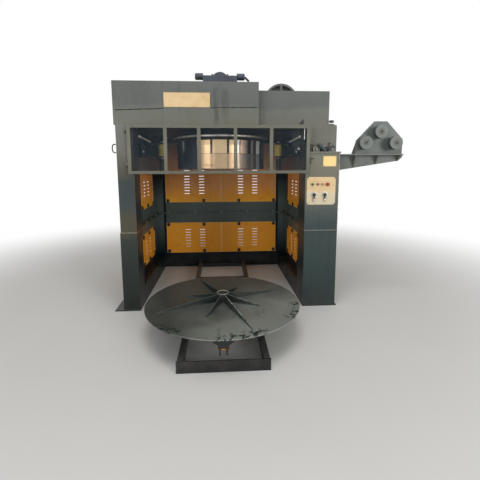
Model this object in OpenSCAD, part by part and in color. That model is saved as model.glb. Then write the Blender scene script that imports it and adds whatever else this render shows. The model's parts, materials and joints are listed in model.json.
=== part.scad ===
// Inverted vertical wire drawing machine: a portal frame with the drum hung from its roof,
// a turntable on a trolley that rolls under the drum, and an outrigger with guide pulleys.
// X runs to the right and Y into the machine. The origin is on the floor under the drum.

/* [Frame] */
// Clear width between the front columns
opening_w = 1900; // [1800:10:2100]
// Width of the left column
left_column_w = 180; // [140:5:240]
// Width of the right column, which carries the die table
right_column_w = 387; // [340:1:440]
// Depth of the left column
left_column_d = 250; // [220:5:300]
// Width of the post beside the die panel, which the door closes against
latch_post_w = 35; // [30:1:45]
// Depth of the right column
right_column_d = 300; // [290:5:340]
// Front face of the columns to the drum axis
front_to_drum = 950; // [930:5:1000]
// Drum axis to the inner face of the rear wall
drum_to_back = 785; // [780:5:900]
// Depth of the rear wall's beams and posts
back_d = 115; // [90:5:160]
// Underside of the roof plate
roof_z = 2100; // [2090:5:2200]
// Thickness of the roof plate
roof_t = 25; // [16:1:40]
// Thickness of the plates under the columns
base_t = 12; // [8:1:20]
// How far the left base plate reaches past its column
base_lug_w = 110; // [60:5:150]
// How far the right base plate reaches past its column
base_lip_w = 20; // [10:5:60]
// Height of the sills
sill_h = 240; // [180:5:250]
// Underside of the middle rails
mid_rail_z = 750; // [700:10:800]
// Height of the middle rails
mid_rail_h = 340; // [280:10:400]
// Height of the bolted joint between the lower and upper halves of the frame
split_z = 915; // [860:5:980]
// How far the joint's flange stands out of the rear rail
split_flange_w = 25; // [15:1:35]
// How far the joint's flange stands out of the side rails
side_flange_w = 70; // [40:1:90]
// Thickness of each of the two flanges at the joint
split_flange_t = 10; // [8:1:16]
// Height of the top rails
top_rail_h = 54; // [40:2:80]
// How far the side walls' rails and sheets are set back from the columns' inner faces
side_recess = 100; // [60:5:110]
// Height of the ledge at the foot of the side walls
side_ledge_z = 225; // [180:5:240]
// Height of the side walls' bottom rails
side_foot_z = 315; // [280:5:330]
// Underside of the deep beams at the top of the side walls
side_beam_z = 1580; // [1570:5:1600]

/* [Slotted panels] */
// Thickness of the sheet
sheet_t = 3; // [2:0.5:4]
// Depth of the folded edges
fold_d = 20; // [15:1:30]
// Gap round each sheet
panel_gap = 4; // [2:1:8]
// Length of a slot
slot_w = 92; // [70:2:100]
// Height of a slot
slot_h = 14; // [8:1:16]
// Distance between slots
slot_pitch = 47; // [40:1:52]
// Slots in a column on the lower panels
lower_slot_n = 7; // [4:1:8]
// Slots in a column on the upper panels
upper_slot_n = 13; // [6:1:14]
// Slots in a column on the upper side panels
side_slot_n = 5; // [4:1:7]
// Height of the lowest slot on the lower panels
lower_slot_z = 343; // [340:1:350]
// Height of the lowest slot on the upper rear panels
upper_slot_z = 1228; // [1210:1:1240]
// Height of the lowest slot on the upper side panels
side_slot_z = 1257; // [1250:1:1270]
// Slot columns left and right of each rear sheet's middle
slot_column_x = 119; // [100:1:160]
// How far the rear slot columns lie inwards of each sheet's middle
slot_shift = 34; // [0:1:50]
// Slot columns left and right of each side sheet's middle
side_slot_x = 114; // [90:2:130]
// How far the side slot columns lie before each sheet's middle
side_slot_shift = 49; // [0:1:70]
// Length of the side panels
side_panel_l = 760; // [700:10:800]
// Middle of the side panels behind the drum axis
side_panel_y = 80; // [40:5:100]

/* [Hoods] */
// Top of the left hood
left_hood_top = 2555; // [2500:5:2600]
// Right end of the left hood, measured from the drum axis
hood_split_x = 417; // [380:1:460]
// How far the left hood reaches past its column
hood_lip_w = 16; // [5:1:30]
// Top of the right hood
right_hood_top = 2495; // [2440:5:2500]
// How far the right hood and the die panel are set back
hood_setback = 120; // [100:5:150]
// Narrowing of the right hood against the column
hood_step_w = 97; // [80:1:120]
// Height of the step at the right hood's lower right corner
hood_step_z = 2145; // [2130:5:2200]
// Drop of the sloping corner under the step
hood_corner_h = 28; // [15:1:40]

/* [Drum] */
// Working diameter of the drum
drum_d = 1200; // [1100:10:1200]
// Diameter of the drum's top flange
drum_flange_d = 1288; // [1240:2:1290]
// Underside of the drum
drum_bottom_z = 1627; // [1600:1:1650]
// Top of the drum's flange
drum_top_z = 2038; // [2020:1:2045]
// Thickness of the drum's flange at its edge
drum_flange_t = 34; // [24:1:44]
// Depth of the recess in the drum's underside
drum_recess_h = 60; // [30:5:100]
// Height of the flared band between the drum and its flange
drum_flare_h = 60; // [50:5:80]
// Thickness of the drum's wall at the recess
drum_wall_t = 26; // [18:1:40]
// Diameter of the drum's shaft
shaft_d = 160; // [120:5:200]
// Length of the shaft inside the gearbox
shaft_in_gearbox = 130; // [90:5:160]
// Running clearance between a shaft or pin and its bore, on the radius
run_clear = 0.05; // [0.02:0.01:0.09]

/* [Gearbox and drive] */
// Width of the gearbox housing
gearbox_w = 456; // [440:2:500]
// Depth of the gearbox housing
gearbox_d = 500; // [440:5:540]
// Top of the gearbox housing
gearbox_top = 2859; // [2840:1:2880]
// Depth of the gearbox's head
gearbox_head_d = 160; // [120:5:200]
// Top of the housing under the head
gearbox_shoulder_z = 2725; // [2700:5:2750]
// Diameter of the round bearing cover on the gearbox
bearing_cover_d = 230; // [200:2:260]
// How far the middle of the head's round bearing cover lies under its top
cover_drop = 71; // [60:1:90]
// Diameter of the cross shaft's bearing caps
cross_cap_d = 88; // [70:2:100]
// Length of each cross shaft bearing cap
cross_cap_l = 97; // [80:1:120]
// Height of the motor's and the gearbox's drive shafts above the floor
drive_z = 2524; // [2500:1:2530]
// Place of the motor to the right of the drum axis
motor_x = 810; // [780:1:830]
// Front of the motor's fan cowl, measured from the drum axis
motor_front = 150; // [130:5:170]
// Diameter of the motor's fan cowl
cowl_d = 446; // [420:2:450]
// Length of the motor's fan cowl
cowl_l = 120; // [90:5:140]
// Width of the fan cowl's rim and spokes
cowl_rib = 26; // [20:1:32]
// Diameter of the motor's housing
motor_d = 400; // [360:5:410]
// Length of the motor's housing
motor_l = 380; // [340:10:420]
// Radius of the belt guard's round ends
belt_guard_r = 200; // [170:5:220]
// Thickness of the belt guard
belt_guard_t = 100; // [80:5:120]
// Gap between the motor and the belt guard
belt_guard_gap = 10; // [5:1:20]

/* [Guard door] */
// Thickness of the door's bars
door_t = 30; // [25:1:40]
// Width of the door's upright bars
door_bar = 38; // [34:1:42]
// Height of the door's bottom bar
door_sill_h = 33; // [28:1:40]
// Height of the door's top bar
door_head_h = 34; // [28:1:40]
// Underside of the door
door_z = 1574; // [1540:2:1600]
// How far the door laps over the left column
door_lap = 56; // [50:1:60]
// How far the door laps over the right column
door_lap_right = 37; // [30:1:40]
// Gap between the door and the columns
door_gap = 5; // [4:1:8]
// Gap between the door's right edge and the die table's front lip
door_table_gap = 7; // [6:1:12]
// Thickness of the window panes
glass_t = 4; // [3:1:6]
// How far behind the door's face the hinge pins and the panes lie
pane_depth = 13; // [11:1:15]
// How far outside the door the hinge pins stand
hinge_reach = 14; // [13:1:18]
// Outer diameter of the hinge barrels
hinge_d = 18; // [16:1:22]
// Diameter of the hinge pins
hinge_pin_d = 10; // [8:1:12]
// Height of one hinge knuckle
knuckle_h = 32; // [24:1:40]

/* [Press rollers] */
// Diameter of a press roller
press_roller_d = 110; // [100:1:116]
// Height of a press roller
press_roller_h = 150; // [130:2:150]
// Underside of a press roller
press_roller_z = 1800; // [1790:1:1810]
// Length of a press arm, pivot to roller
press_arm_l = 588; // [570:1:600]
// Angle of a press arm to the X axis when it stands open
press_arm_angle = 77.7; // [77:0.1:79]
// Distance of the arm pivot from the column's inner face
arm_pivot_x = 50; // [45:1:60]
// Distance of the arm pivot from the column's rear face
arm_pivot_y = 25; // [22:1:28]
// Diameter of the pins in a press arm
arm_pin_d = 24; // [18:1:30]
// Thickness of a press arm's bar
arm_bar_t = 16; // [12:1:24]

/* [Die table] */
// Top of the die table
table_z = 1815; // [1812:1:1825]
// Thickness of the die table
table_t = 18; // [12:1:18]
// How far the die table reaches past the column
table_lip = 12; // [6:1:20]
// Clearance round the wire rollers in the die table's slots and over the column
die_roller_gap = 5; // [5:1:8]
// Left wire roller to the column's inner face
left_roller_x = 131; // [128:1:134]
// Right wire roller to the column's inner face
right_roller_x = 306; // [300:1:320]
// Diameter of the wire rollers on the die table
die_roller_d = 84; // [70:1:90]
// Width of the wire rollers on the die table
die_roller_w = 50; // [40:1:60]

/* [Control plate] */
// Width of the control plate
control_w = 331; // [300:1:340]
// Height of the control plate
control_h = 314; // [280:1:340]
// Bottom edge of the control plate
control_z = 1217; // [1180:1:1260]
// Cut across the control plate's corners
control_corner = 22; // [12:1:30]
// Diameter of the push buttons
button_d = 24; // [20:1:30]
// Diameter of the stop button
stop_button_d = 40; // [32:1:44]

/* [Outrigger] */
// Reach of the outrigger past the right column
outrigger_l = 811; // [760:1:860]
// Top of the outrigger's flange
outrigger_z = 1791; // [1780:1:1800]
// Depth of the web at the column
web_h = 191; // [160:1:200]
// Depth of the web at the tip
web_tip_h = 75; // [50:1:80]
// Thickness of the outrigger's plates
web_t = 12; // [8:1:16]
// Width of the flange
outrigger_flange_w = 236; // [200:2:260]
// Height of the pulley plate
pulley_plate_h = 379; // [340:1:400]
// Width of the pulley plate
pulley_plate_w = 560; // [520:1:580]
// Diameter of the guide pulleys
guide_pulley_d = 150; // [130:1:156]
// Width of the guide pulleys
guide_pulley_w = 60; // [40:1:70]
// Front face of the guide pulleys to the pulley plate
guide_pulley_out = 114; // [100:1:120]

/* [Rails and turntable] */
// Distance between the outer faces of the rails
rails_w = 754; // [700:2:800]
// Width of a rail
rail_w = 45; // [40:1:60]
// Height of the rails
rail_h = 100; // [80:2:110]
// Front end of the rails, measured from the drum axis
rails_front = 2162; // [2140:1:2200]
// How far the trolley is pulled out from under the drum
trolley_out = 1441; // [1400:1:1445]
// Diameter of the turntable
turntable_d = 1532; // [1480:2:1540]
// Thickness of the turntable's disc
turntable_t = 10; // [8:1:14]
// Top of the turntable's disc
turntable_z = 300; // [290:1:310]
// Height of the fins at the hub
fin_h = 82; // [60:1:100]
// Thickness of a fin
fin_t = 8; // [6:1:12]
// Reach of the four long fins
long_fin_r = 675; // [600:5:720]
// Reach of the four short fins
short_fin_r = 400; // [340:5:480]
// Diameter of the turntable's hub
hub_d = 120; // [100:2:150]
// Diameter of the trolley's spindle
spindle_d = 60; // [50:2:80]
// Diameter of the trolley's wheels
trolley_wheel_d = 100; // [80:2:110]

/* [Hidden] */
$fn = 64;
cut = 1;
in_x = opening_w / 2;
left_x = -in_x - left_column_w;
side_out_x = in_x + left_column_w;
side_in_x = in_x + side_recess;
right_x = in_x + right_column_w;
front_y = -front_to_drum;
back_y = drum_to_back;
out_back_y = back_y + back_d;
side_front_y = front_y + left_column_d;
die_front_y = front_y + hood_setback;
right_back_y = front_y + right_column_d;
top_rail_z = roof_z - top_rail_h;
mid_top_z = mid_rail_z + mid_rail_h;
roof_top = roof_z + roof_t;
step_out = 8;
press_mid_z = press_roller_z + press_roller_h / 2;
arm_z = press_roller_z - 10;
arm_h = 110;
arm_px = -in_x + arm_pivot_x;
arm_py = side_front_y - arm_pivot_y;
trolley_y = -trolley_out;
web_y = front_y + 150;
latch_x = in_x + 45;

// A box given by its two corners
module block(a, b) {
  translate(a)
    cube(b - a);
}

// Each side wall: its side of the drum, and the rear face of its column
walls = [[-1, side_front_y], [1, right_back_y]];

// A beam along each side wall from column to rear post, between two distances from the middle
module side_beams(x0, x1, z0, z1) {
  for (w = walls)
    mirror([w[0] < 0 ? 0 : 1, 0, 0])
      block([-x1, w[1], z0], [-x0, back_y, z1]);
}

// Both halves of what is the same left and right of the drum
module both_sides() {
  children();
  mirror([1, 0, 0])
    children();
}

// A cylinder along Y, from y0 to y1
module y_cylinder(x, y0, y1, z, d) {
  translate([x, y1, z])
    rotate([90, 0, 0])
      cylinder(h = y1 - y0, d = d);
}

// A column of two halves, the lower one a little wider, joined by a welded seam
module column(x0, x1, y1, top, lower_x0, lower_x1) {
  seam_out = 4;
  block([lower_x0, front_y, base_t], [lower_x1, y1, split_z]);
  block([x0, front_y, split_z - cut], [x1, y1, top]);
  block([lower_x0, front_y - seam_out, split_z - 6], [lower_x1, y1, split_z + 3]);
}

panel_y0 = side_panel_y - side_panel_l / 2;
panel_y1 = side_panel_y + side_panel_l / 2;
side_plate_t = 6;

module base_plates() {
  color("darkslategray") {
    block([left_x - base_lug_w, front_y, 0], [-in_x, out_back_y, base_t]);
    block([in_x, front_y, 0], [right_x + base_lip_w, out_back_y, base_t]);
  }
}

module left_front_column() {
  color("darkslategray")
    column(left_x, -in_x, side_front_y, roof_z, left_x - step_out, -in_x);
}

module right_front_column() {
  color("darkslategray") {
    column(in_x, right_x, right_back_y, table_z - table_t, in_x, right_x);
    block([in_x, front_y, table_z - table_t - cut],
          [in_x + latch_post_w, right_back_y, roof_z]);
  }
}

module rear_posts() {
  color("darkslategray")
    both_sides()
      block([-side_out_x, back_y, base_t], [-in_x, out_back_y, roof_z]);
}

module sills() {
  color("darkslategray") {
    side_beams(in_x, side_in_x + cut, base_t, side_ledge_z);
    side_beams(side_in_x, side_out_x, base_t, side_foot_z);
    block([-in_x, back_y, 0], [in_x, out_back_y, sill_h]);
  }
}

module mid_rails() {
  t = split_flange_t;
  flange_x = side_in_x - side_flange_w;
  color("darkslategray") {
    side_beams(side_in_x, side_out_x, mid_rail_z, mid_top_z);
    side_beams(flange_x, side_in_x + cut, split_z - t, split_z + t);
    block([-in_x, back_y, mid_rail_z], [in_x, out_back_y, mid_top_z]);
    block([-in_x, back_y - split_flange_w, split_z - t], [in_x, back_y + cut, split_z + t]);
  }
}

module top_rails() {
  color("darkslategray") {
    side_beams(in_x, side_out_x, side_beam_z, roof_z);
    block([-in_x, back_y, top_rail_z], [in_x, out_back_y, roof_z]);
  }
}

// The plain plates of the side walls, before and behind the slotted sheets
module side_plates() {
  x0 = side_in_x;
  x1 = side_in_x + side_plate_t;
  color("darkslategray")
    for (w = walls)
      mirror([w[0] < 0 ? 0 : 1, 0, 0])
        for (z = [[side_foot_z, mid_rail_z], [mid_top_z, side_beam_z]])
          for (y = [[w[1], panel_y0], [panel_y1, back_y]])
            block([-x1, y[0], z[0]], [-x0, y[1], z[1]]);
}

// A sheet in the XZ plane with its edges folded to +Y and columns of level slots through it
module slotted_sheet(w, h, columns, first_z, n) {
  difference() {
    block([0, 0, 0], [w, fold_d, h]);
    block([sheet_t, sheet_t, sheet_t], [w - sheet_t, fold_d + cut, h - sheet_t]);
    for (x = columns)
      for (i = [0 : n - 1])
        block([x - slot_w / 2, -cut, first_z + i * slot_pitch],
              [x + slot_w / 2, sheet_t + cut, first_z + i * slot_pitch + slot_h]);
  }
}

// The two sheets of one band in the rear wall
module rear_panels(z0, z1, first_z, n) {
  w = in_x - 1.5 * panel_gap;
  color("goldenrod")
    for (s = [-1, 1])
      translate([s < 0 ? -in_x + panel_gap : panel_gap / 2, back_y, z0])
        slotted_sheet(w, z1 - z0, [
          w / 2 - s * slot_shift - slot_column_x, w / 2 - s * slot_shift + slot_column_x
        ], first_z, n);
}

module rear_lower_panels() {
  rear_panels(sill_h, mid_rail_z, lower_slot_z - sill_h, lower_slot_n);
}

module rear_upper_panels() {
  rear_panels(mid_top_z, top_rail_z, upper_slot_z - mid_top_z, upper_slot_n);
}

// The sheet of one band in each side wall, with its flat face towards the drum
module side_panels(z0, z1, first_z, n) {
  l = side_panel_l - 2 * panel_gap;
  middle = l / 2 - side_slot_shift;
  color("goldenrod")
    both_sides()
      translate([-side_in_x, panel_y0 + panel_gap, z0])
        rotate([0, 0, 90])
          slotted_sheet(l, z1 - z0, [middle - side_slot_x, middle + side_slot_x], first_z, n);
}

module side_lower_panels() {
  side_panels(side_foot_z, mid_rail_z, lower_slot_z - side_foot_z, lower_slot_n);
}

module side_upper_panels() {
  side_panels(mid_top_z, side_beam_z, side_slot_z - mid_top_z, side_slot_n);
}

module roof_plate() {
  color("darkslategray")
    difference() {
      block([-side_out_x, side_front_y, roof_z], [side_out_x, out_back_y, roof_top]);
      translate([0, 0, roof_z - cut])
        cylinder(h = roof_t + 2 * cut, d = shaft_d + 80);
      block([hood_split_x, side_front_y - cut, roof_z - cut],
            [side_out_x + cut, right_back_y, roof_top + cut]);
    }
}

module left_hood() {
  color("dimgray")
    block([left_x - hood_lip_w, front_y, roof_z], [hood_split_x, side_front_y, left_hood_top]);
}

// The right hood and the die panel under it, one plate with a stepped corner
module right_hood() {
  x1 = right_x - hood_step_w;
  color("dimgray")
    translate([0, right_back_y, 0])
      rotate([90, 0, 0])
        linear_extrude(right_back_y - die_front_y)
          polygon([
            [hood_split_x, roof_z], [in_x + latch_post_w, roof_z],
            [in_x + latch_post_w, table_z],
            [right_x, table_z], [right_x, hood_step_z - hood_corner_h],
            [x1 + 45, hood_step_z - 8], [x1, hood_step_z - 8],
            [x1, right_hood_top], [hood_split_x, right_hood_top]
          ]);
}

module gearbox() {
  foot_h = 40;
  foot_r = 300;
  rib_w = 16;
  rib_out = 25;
  rib_drop = 40;
  cover_out = 4;
  cap_rise = 3;
  cap_z = gearbox_top + cap_rise;
  bump_x = 102;
  bump_d = 24;
  bump_h = 25;
  bump_y = 40 - gearbox_head_d / 2;
  boss_d = 160;
  cover_z = gearbox_top - cover_drop;
  color("slategray")
    difference() {
      union() {
        block([-foot_r, -foot_r, roof_top], [foot_r, foot_r, roof_top + foot_h]);
        block([-gearbox_w / 2, -gearbox_d / 2, roof_top + foot_h - cut],
              [gearbox_w / 2, gearbox_d / 2, gearbox_shoulder_z]);
        block([-gearbox_w / 2, -gearbox_head_d / 2, gearbox_shoulder_z - cut],
              [gearbox_w / 2, gearbox_head_d / 2, gearbox_top]);
        for (x = [-gearbox_w / 2 + rib_w / 2, gearbox_w / 2 - 1.5 * rib_w])
          block([x, -gearbox_d / 2 - rib_out, roof_top + foot_h - cut],
                [x + rib_w, gearbox_d / 2 + rib_out, gearbox_shoulder_z - rib_drop]);
        for (s = [-1, 1])
          translate([s * (gearbox_w / 2 - cut), 0, cap_z])
            rotate([0, s * 90, 0])
              cylinder(h = cross_cap_l + cut, d = cross_cap_d);
        y_cylinder(0, -gearbox_head_d / 2 - cover_out, gearbox_head_d / 2 + cover_out, cover_z,
                   bearing_cover_d);
        y_cylinder(0, gearbox_d / 2 - cut, guard_y0, drive_z, boss_d);
        for (x = [-bump_x, bump_x])
          translate([x, bump_y, gearbox_top - cut])
            cylinder(h = bump_h + cut, d = bump_d);
      }
      translate([0, 0, roof_top - cut])
        cylinder(h = shaft_in_gearbox + 5 + cut, d = shaft_d + 2 * run_clear);
    }
}

motor_y0 = cowl_l - motor_front;
motor_y1 = motor_y0 + motor_l;
guard_y0 = motor_y1 + belt_guard_gap;

module motor() {
  foot_w = 320;
  foot_h = 60;
  rib_out = 10;
  color("slategray") {
    y_cylinder(motor_x, motor_y0, motor_y1, drive_z, motor_d);
    y_cylinder(motor_x, motor_y1 - cut, guard_y0, drive_z, 90);
    for (a = [20 : 20 : 340])
      translate([motor_x, 0, drive_z])
        rotate([0, a, 0])
          block([-3, motor_y0 + 20, -motor_d / 2 - rib_out], [3, motor_y1 - 20, -motor_d / 2 + 5]);
    block([motor_x - foot_w / 2, motor_y0 + 50, roof_top],
          [motor_x + foot_w / 2, motor_y1 - 50, roof_top + foot_h]);
    block([motor_x - foot_w / 2 + 60, motor_y0 + 80, roof_top + foot_h - cut],
          [motor_x + foot_w / 2 - 60, motor_y1 - 80, drive_z - 150]);
    block([motor_x + motor_d / 2 - 20, motor_y0 + 100, drive_z - 60],
          [motor_x + motor_d / 2 + 90, motor_y0 + 280, drive_z + 60]);
  }
}

// The cowl over the motor's fan: an open ring with four spokes and a hub
module fan_cowl() {
  y0 = -motor_front;
  depth = 60;
  color("dimgray") {
    difference() {
      y_cylinder(motor_x, y0, motor_y0, drive_z, cowl_d);
      y_cylinder(motor_x, y0 - cut, y0 + depth, drive_z, cowl_d - 2 * cowl_rib);
    }
    for (a = [0 : 90 : 270])
      translate([motor_x, 0, drive_z])
        rotate([0, a, 0])
          block([-cowl_rib / 2, y0, 30], [cowl_rib / 2, y0 + 8, cowl_d / 2 - cowl_rib + 2]);
    y_cylinder(motor_x, y0, y0 + depth + cut, drive_z, 90);
  }
}

// The closed guard over the belts between motor and gearbox
module belt_guard() {
  color("dimgray")
    translate([0, guard_y0 + belt_guard_t, 0])
      rotate([90, 0, 0])
        linear_extrude(belt_guard_t) {
          for (x = [0, motor_x])
            translate([x, drive_z])
              circle(r = belt_guard_r);
          translate([0, drive_z - belt_guard_r])
            square([motor_x, 2 * belt_guard_r]);
        }
}

// Where the drum's barrel ends and its flange begins, and the sunk top face between them
barrel_top_z = drum_top_z - drum_flare_h;
drum_deck_z = drum_top_z - 30;
drum_bore_d = 90;

module drum() {
  r = drum_d / 2;
  recess_r = r - drum_wall_t;
  recess_z = drum_bottom_z + drum_recess_h;
  taper = 8;
  lip = 4;
  hub_r = 150;
  spoke_t = 14;
  spoke_z = drum_bottom_z + 10;
  color("gray")
    difference() {
      union() {
        rotate_extrude($fn = 128)
          polygon([
            [0, recess_z], [recess_r, recess_z], [recess_r, drum_bottom_z],
            [r - 3 * lip, drum_bottom_z], [r - lip, drum_bottom_z + 6],
            [r - lip, drum_bottom_z + 30], [r - taper, drum_bottom_z + 60],
            [r - taper, barrel_top_z - 60], [r, barrel_top_z], [0, barrel_top_z]
          ]);
        translate([0, 0, spoke_z])
          cylinder(h = drum_recess_h, r = hub_r);
        for (a = [0 : 45 : 315])
          rotate([0, 0, a])
            block([hub_r - 10, -spoke_t / 2, spoke_z], [recess_r + 2, spoke_t / 2, recess_z + cut]);
      }
      translate([0, 0, drum_bottom_z])
        cylinder(h = drum_top_z - drum_bottom_z, d = drum_bore_d);
    }
}

// The bright flange that the wire runs against, with the sunk deck inside it
module drum_flange() {
  r = drum_d / 2;
  fr = drum_flange_d / 2;
  color("lightgray")
    difference() {
      rotate_extrude($fn = 128)
        polygon([
          [0, barrel_top_z], [r, barrel_top_z], [fr - 14, drum_top_z - drum_flange_t],
          [fr, drum_top_z - drum_flange_t + 12], [fr, drum_top_z - 8], [fr - 8, drum_top_z],
          [r - 30, drum_top_z], [r - 60, drum_deck_z], [0, drum_deck_z]
        ]);
      translate([0, 0, drum_bottom_z])
        cylinder(h = drum_top_z - drum_bottom_z, d = drum_bore_d);
    }
}

module drum_shaft() {
  z0 = drum_deck_z;
  plate_h = 30;
  plate_r = 190;
  bolt_r = 160;
  bolt_d = 26;
  bolt_h = 16;
  color("silver") {
    translate([0, 0, z0])
      cylinder(h = plate_h, r = plate_r);
    translate([0, 0, z0])
      cylinder(h = roof_top + shaft_in_gearbox - z0, d = shaft_d);
    for (a = [0 : 45 : 315])
      rotate([0, 0, a])
        translate([bolt_r, 0, z0 + plate_h - cut])
          cylinder(h = bolt_h, d = bolt_d);
  }
}

door_x0 = -in_x - door_lap;
door_x1 = in_x + door_lap_right;
door_y0 = front_y - door_gap - door_t;
door_y1 = front_y - door_gap;
mullions = [-600, -238, 160, 556];
hinge_x = door_x0 - hinge_reach;
hinge_y = door_y0 + pane_depth;
hinge_zs = [door_z + 60, roof_z - 95];

module guard_door() {
  color("dimgray") {
    difference() {
      block([door_x0, door_y0, door_z], [door_x1, door_y1, roof_z]);
      block([door_x0 + door_bar, door_y0 - cut, door_z + door_sill_h],
            [door_x1 - door_bar, door_y1 + cut, roof_z - door_head_h]);
    }
    for (x = mullions)
      block([x - door_bar / 2, door_y0, door_z + door_sill_h - cut],
            [x + door_bar / 2, door_y1, roof_z - door_head_h + cut]);
    for (z = hinge_zs)
      difference() {
        union() {
          translate([hinge_x, hinge_y, z + knuckle_h + 0.3])
            cylinder(h = knuckle_h, d = hinge_d);
          block([hinge_x, hinge_y - 5, z + knuckle_h + 0.3],
                [door_x0 + cut, hinge_y + 5, z + 2 * knuckle_h + 0.3]);
        }
        translate([hinge_x, hinge_y, z])
          cylinder(h = 3 * knuckle_h, d = hinge_pin_d + 2 * run_clear);
      }
  }
}

module guard_windows() {
  edges = concat([door_x0 + door_bar / 2], mullions, [door_x1 - door_bar / 2]);
  color("lightblue")
    for (i = [0 : len(edges) - 2])
      block([edges[i] + door_bar / 2, door_y0 + pane_depth, door_z + door_sill_h],
            [edges[i + 1] - door_bar / 2, door_y0 + pane_depth + glass_t, roof_z - door_head_h]);
}

module door_hinges() {
  color("black")
    for (z = hinge_zs) {
      translate([hinge_x, hinge_y, z])
        cylinder(h = knuckle_h, d = hinge_d);
      translate([hinge_x, hinge_y, z])
        cylinder(h = 2 * knuckle_h + 4, d = hinge_pin_d);
      block([hinge_x - hinge_d / 2, hinge_y, z], [hinge_x + hinge_d / 2, front_y, z + knuckle_h]);
    }
}

module door_latch() {
  latch_z = 1680;
  color("black") {
    block([latch_x, front_y - 8, latch_z], [latch_x + 14, front_y, latch_z + 70]);
    block([latch_x, front_y - 16, latch_z + 50], [latch_x + 45, front_y - 7, latch_z + 62]);
  }
}

// A press arm in its own place: the pivot at the origin and the roller along +X
module press_arm_shape() {
  l = press_arm_l;
  ear_t = 12;
  ear_gap = 6;
  web_y = press_roller_d / 2 + 8;
  web_mid_y = web_y + ear_t / 2;
  web_x = l - 40;
  bar_x = web_x + 12;
  z0 = press_roller_z - ear_gap;
  z1 = press_roller_z + press_roller_h + ear_gap;
  difference() {
    translate([0, 0, arm_z])
      cylinder(h = arm_h, d = 60);
    translate([0, 0, arm_z - cut])
      cylinder(h = arm_h + 2 * cut, d = arm_pin_d + 2 * run_clear);
  }
  rotate([0, 0, atan(web_mid_y / bar_x)])
    block([arm_pin_d / 2 + 10, -arm_bar_t / 2, arm_z + 5],
          [norm([bar_x, web_mid_y]), arm_bar_t / 2, arm_z + arm_h - 5]);
  block([web_x, web_y, z0 - ear_t], [l + 25, web_y + ear_t, z1 + ear_t]);
  for (z = [z0 - ear_t, z1])
    block([l - 25, -20, z], [l + 25, web_y + ear_t / 2, z + ear_t]);
  translate([l, 0, z0 - ear_t])
    cylinder(h = z1 - z0 + 2 * ear_t + 8, d = 20);
}

module press_arm_at() {
  translate([arm_px, arm_py, 0])
    rotate([0, 0, press_arm_angle])
      children();
}

module left_press_arm() {
  color("darkslategray")
    press_arm_at()
      press_arm_shape();
}

module right_press_arm() {
  color("darkslategray")
    mirror([1, 0, 0])
      press_arm_at()
        press_arm_shape();
}

module press_roller_shape() {
  press_arm_at()
    translate([press_arm_l, 0, press_roller_z])
      difference() {
        cylinder(h = press_roller_h, d = press_roller_d);
        translate([0, 0, -cut])
          cylinder(h = press_roller_h + 2 * cut, d = 20 + 2 * run_clear);
      }
}

module left_press_roller() {
  color("khaki")
    press_roller_shape();
}

module right_press_roller() {
  color("khaki")
    mirror([1, 0, 0])
      press_roller_shape();
}

module arm_brackets() {
  ear_t = 15;
  z0 = arm_z - 5 - ear_t;
  z1 = arm_z + arm_h + 5;
  color("darkslategray")
    both_sides() {
      block([-in_x, arm_py - 22, z0 - 5], [-in_x + 10, arm_py + 22, z1 + ear_t + 5]);
      for (z = [z0, z1])
        block([-in_x + 9, arm_py - 20, z], [arm_px + 26, arm_py + 20, z + ear_t]);
      translate([arm_px, arm_py, z0])
        cylinder(h = z1 + ear_t - z0 + 6, d = arm_pin_d);
    }
}

table_x0 = in_x + latch_post_w;
table_y0 = front_y - table_lip;
roller_y = front_y + 62;
roller_cz = table_z - table_t + die_roller_gap + die_roller_d / 2;
roller_xs = [in_x + left_roller_x, in_x + right_roller_x];

module die_table() {
  slot_x = die_roller_d / 2 - 6;
  slot_y = die_roller_w / 2 + die_roller_gap + 1;
  lip_x0 = door_x1 + door_table_gap;
  color("dimgray")
    difference() {
      union() {
        block([table_x0, front_y, table_z - table_t],
              [right_x + table_lip, right_back_y, table_z]);
        block([lip_x0, table_y0, table_z - table_t],
              [right_x + table_lip, front_y + cut, table_z]);
      }
      for (x = roller_xs)
        block([x - slot_x, roller_y - slot_y, table_z - table_t - cut],
              [x + slot_x, roller_y + slot_y, table_z + cut]);
    }
}

module die_box() {
  axle_d = 20;
  box_w = 42;
  box_h = 86;
  box_slope = 46;
  box_d = 80;
  bracket_y = roller_y + die_roller_w / 2 + die_roller_gap + 3;
  color("darkslategray") {
    translate([in_x + left_roller_x + 24, roller_y + box_d - 35, table_z])
      rotate([90, 0, 0])
        linear_extrude(box_d)
          polygon([[box_slope, 0], [box_slope + box_w, 0], [box_w, box_h], [0, box_h]]);
    for (x = roller_xs) {
      block([x - axle_d, bracket_y, table_z], [x + axle_d, die_front_y, roller_cz + axle_d]);
      y_cylinder(x, roller_y - die_roller_w / 2 - 6, bracket_y + cut, roller_cz, axle_d);
    }
  }
}

// A grooved wire roller on a fixed axle along Y
module die_roller(x) {
  r = die_roller_d / 2;
  w = die_roller_w;
  translate([x, roller_y + w / 2, roller_cz])
    rotate([90, 0, 0])
      rotate_extrude()
        polygon([
          [10 + run_clear, 0], [r, 0], [r, w * 0.3], [r - 10, w * 0.45], [r - 10, w * 0.55],
          [r, w * 0.7], [r, w], [10 + run_clear, w]
        ]);
}

module left_die_roller() {
  color("silver")
    die_roller(roller_xs[0]);
}

module right_die_roller() {
  color("silver")
    die_roller(roller_xs[1]);
}

control_x = in_x + 19;
control_t = 3;
button_z = control_z + control_h - 82;
button_xs = [65, 127, 183, 239];
lever_z = control_z + control_h - 200;
lever_xs = [82, 206];

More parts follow.
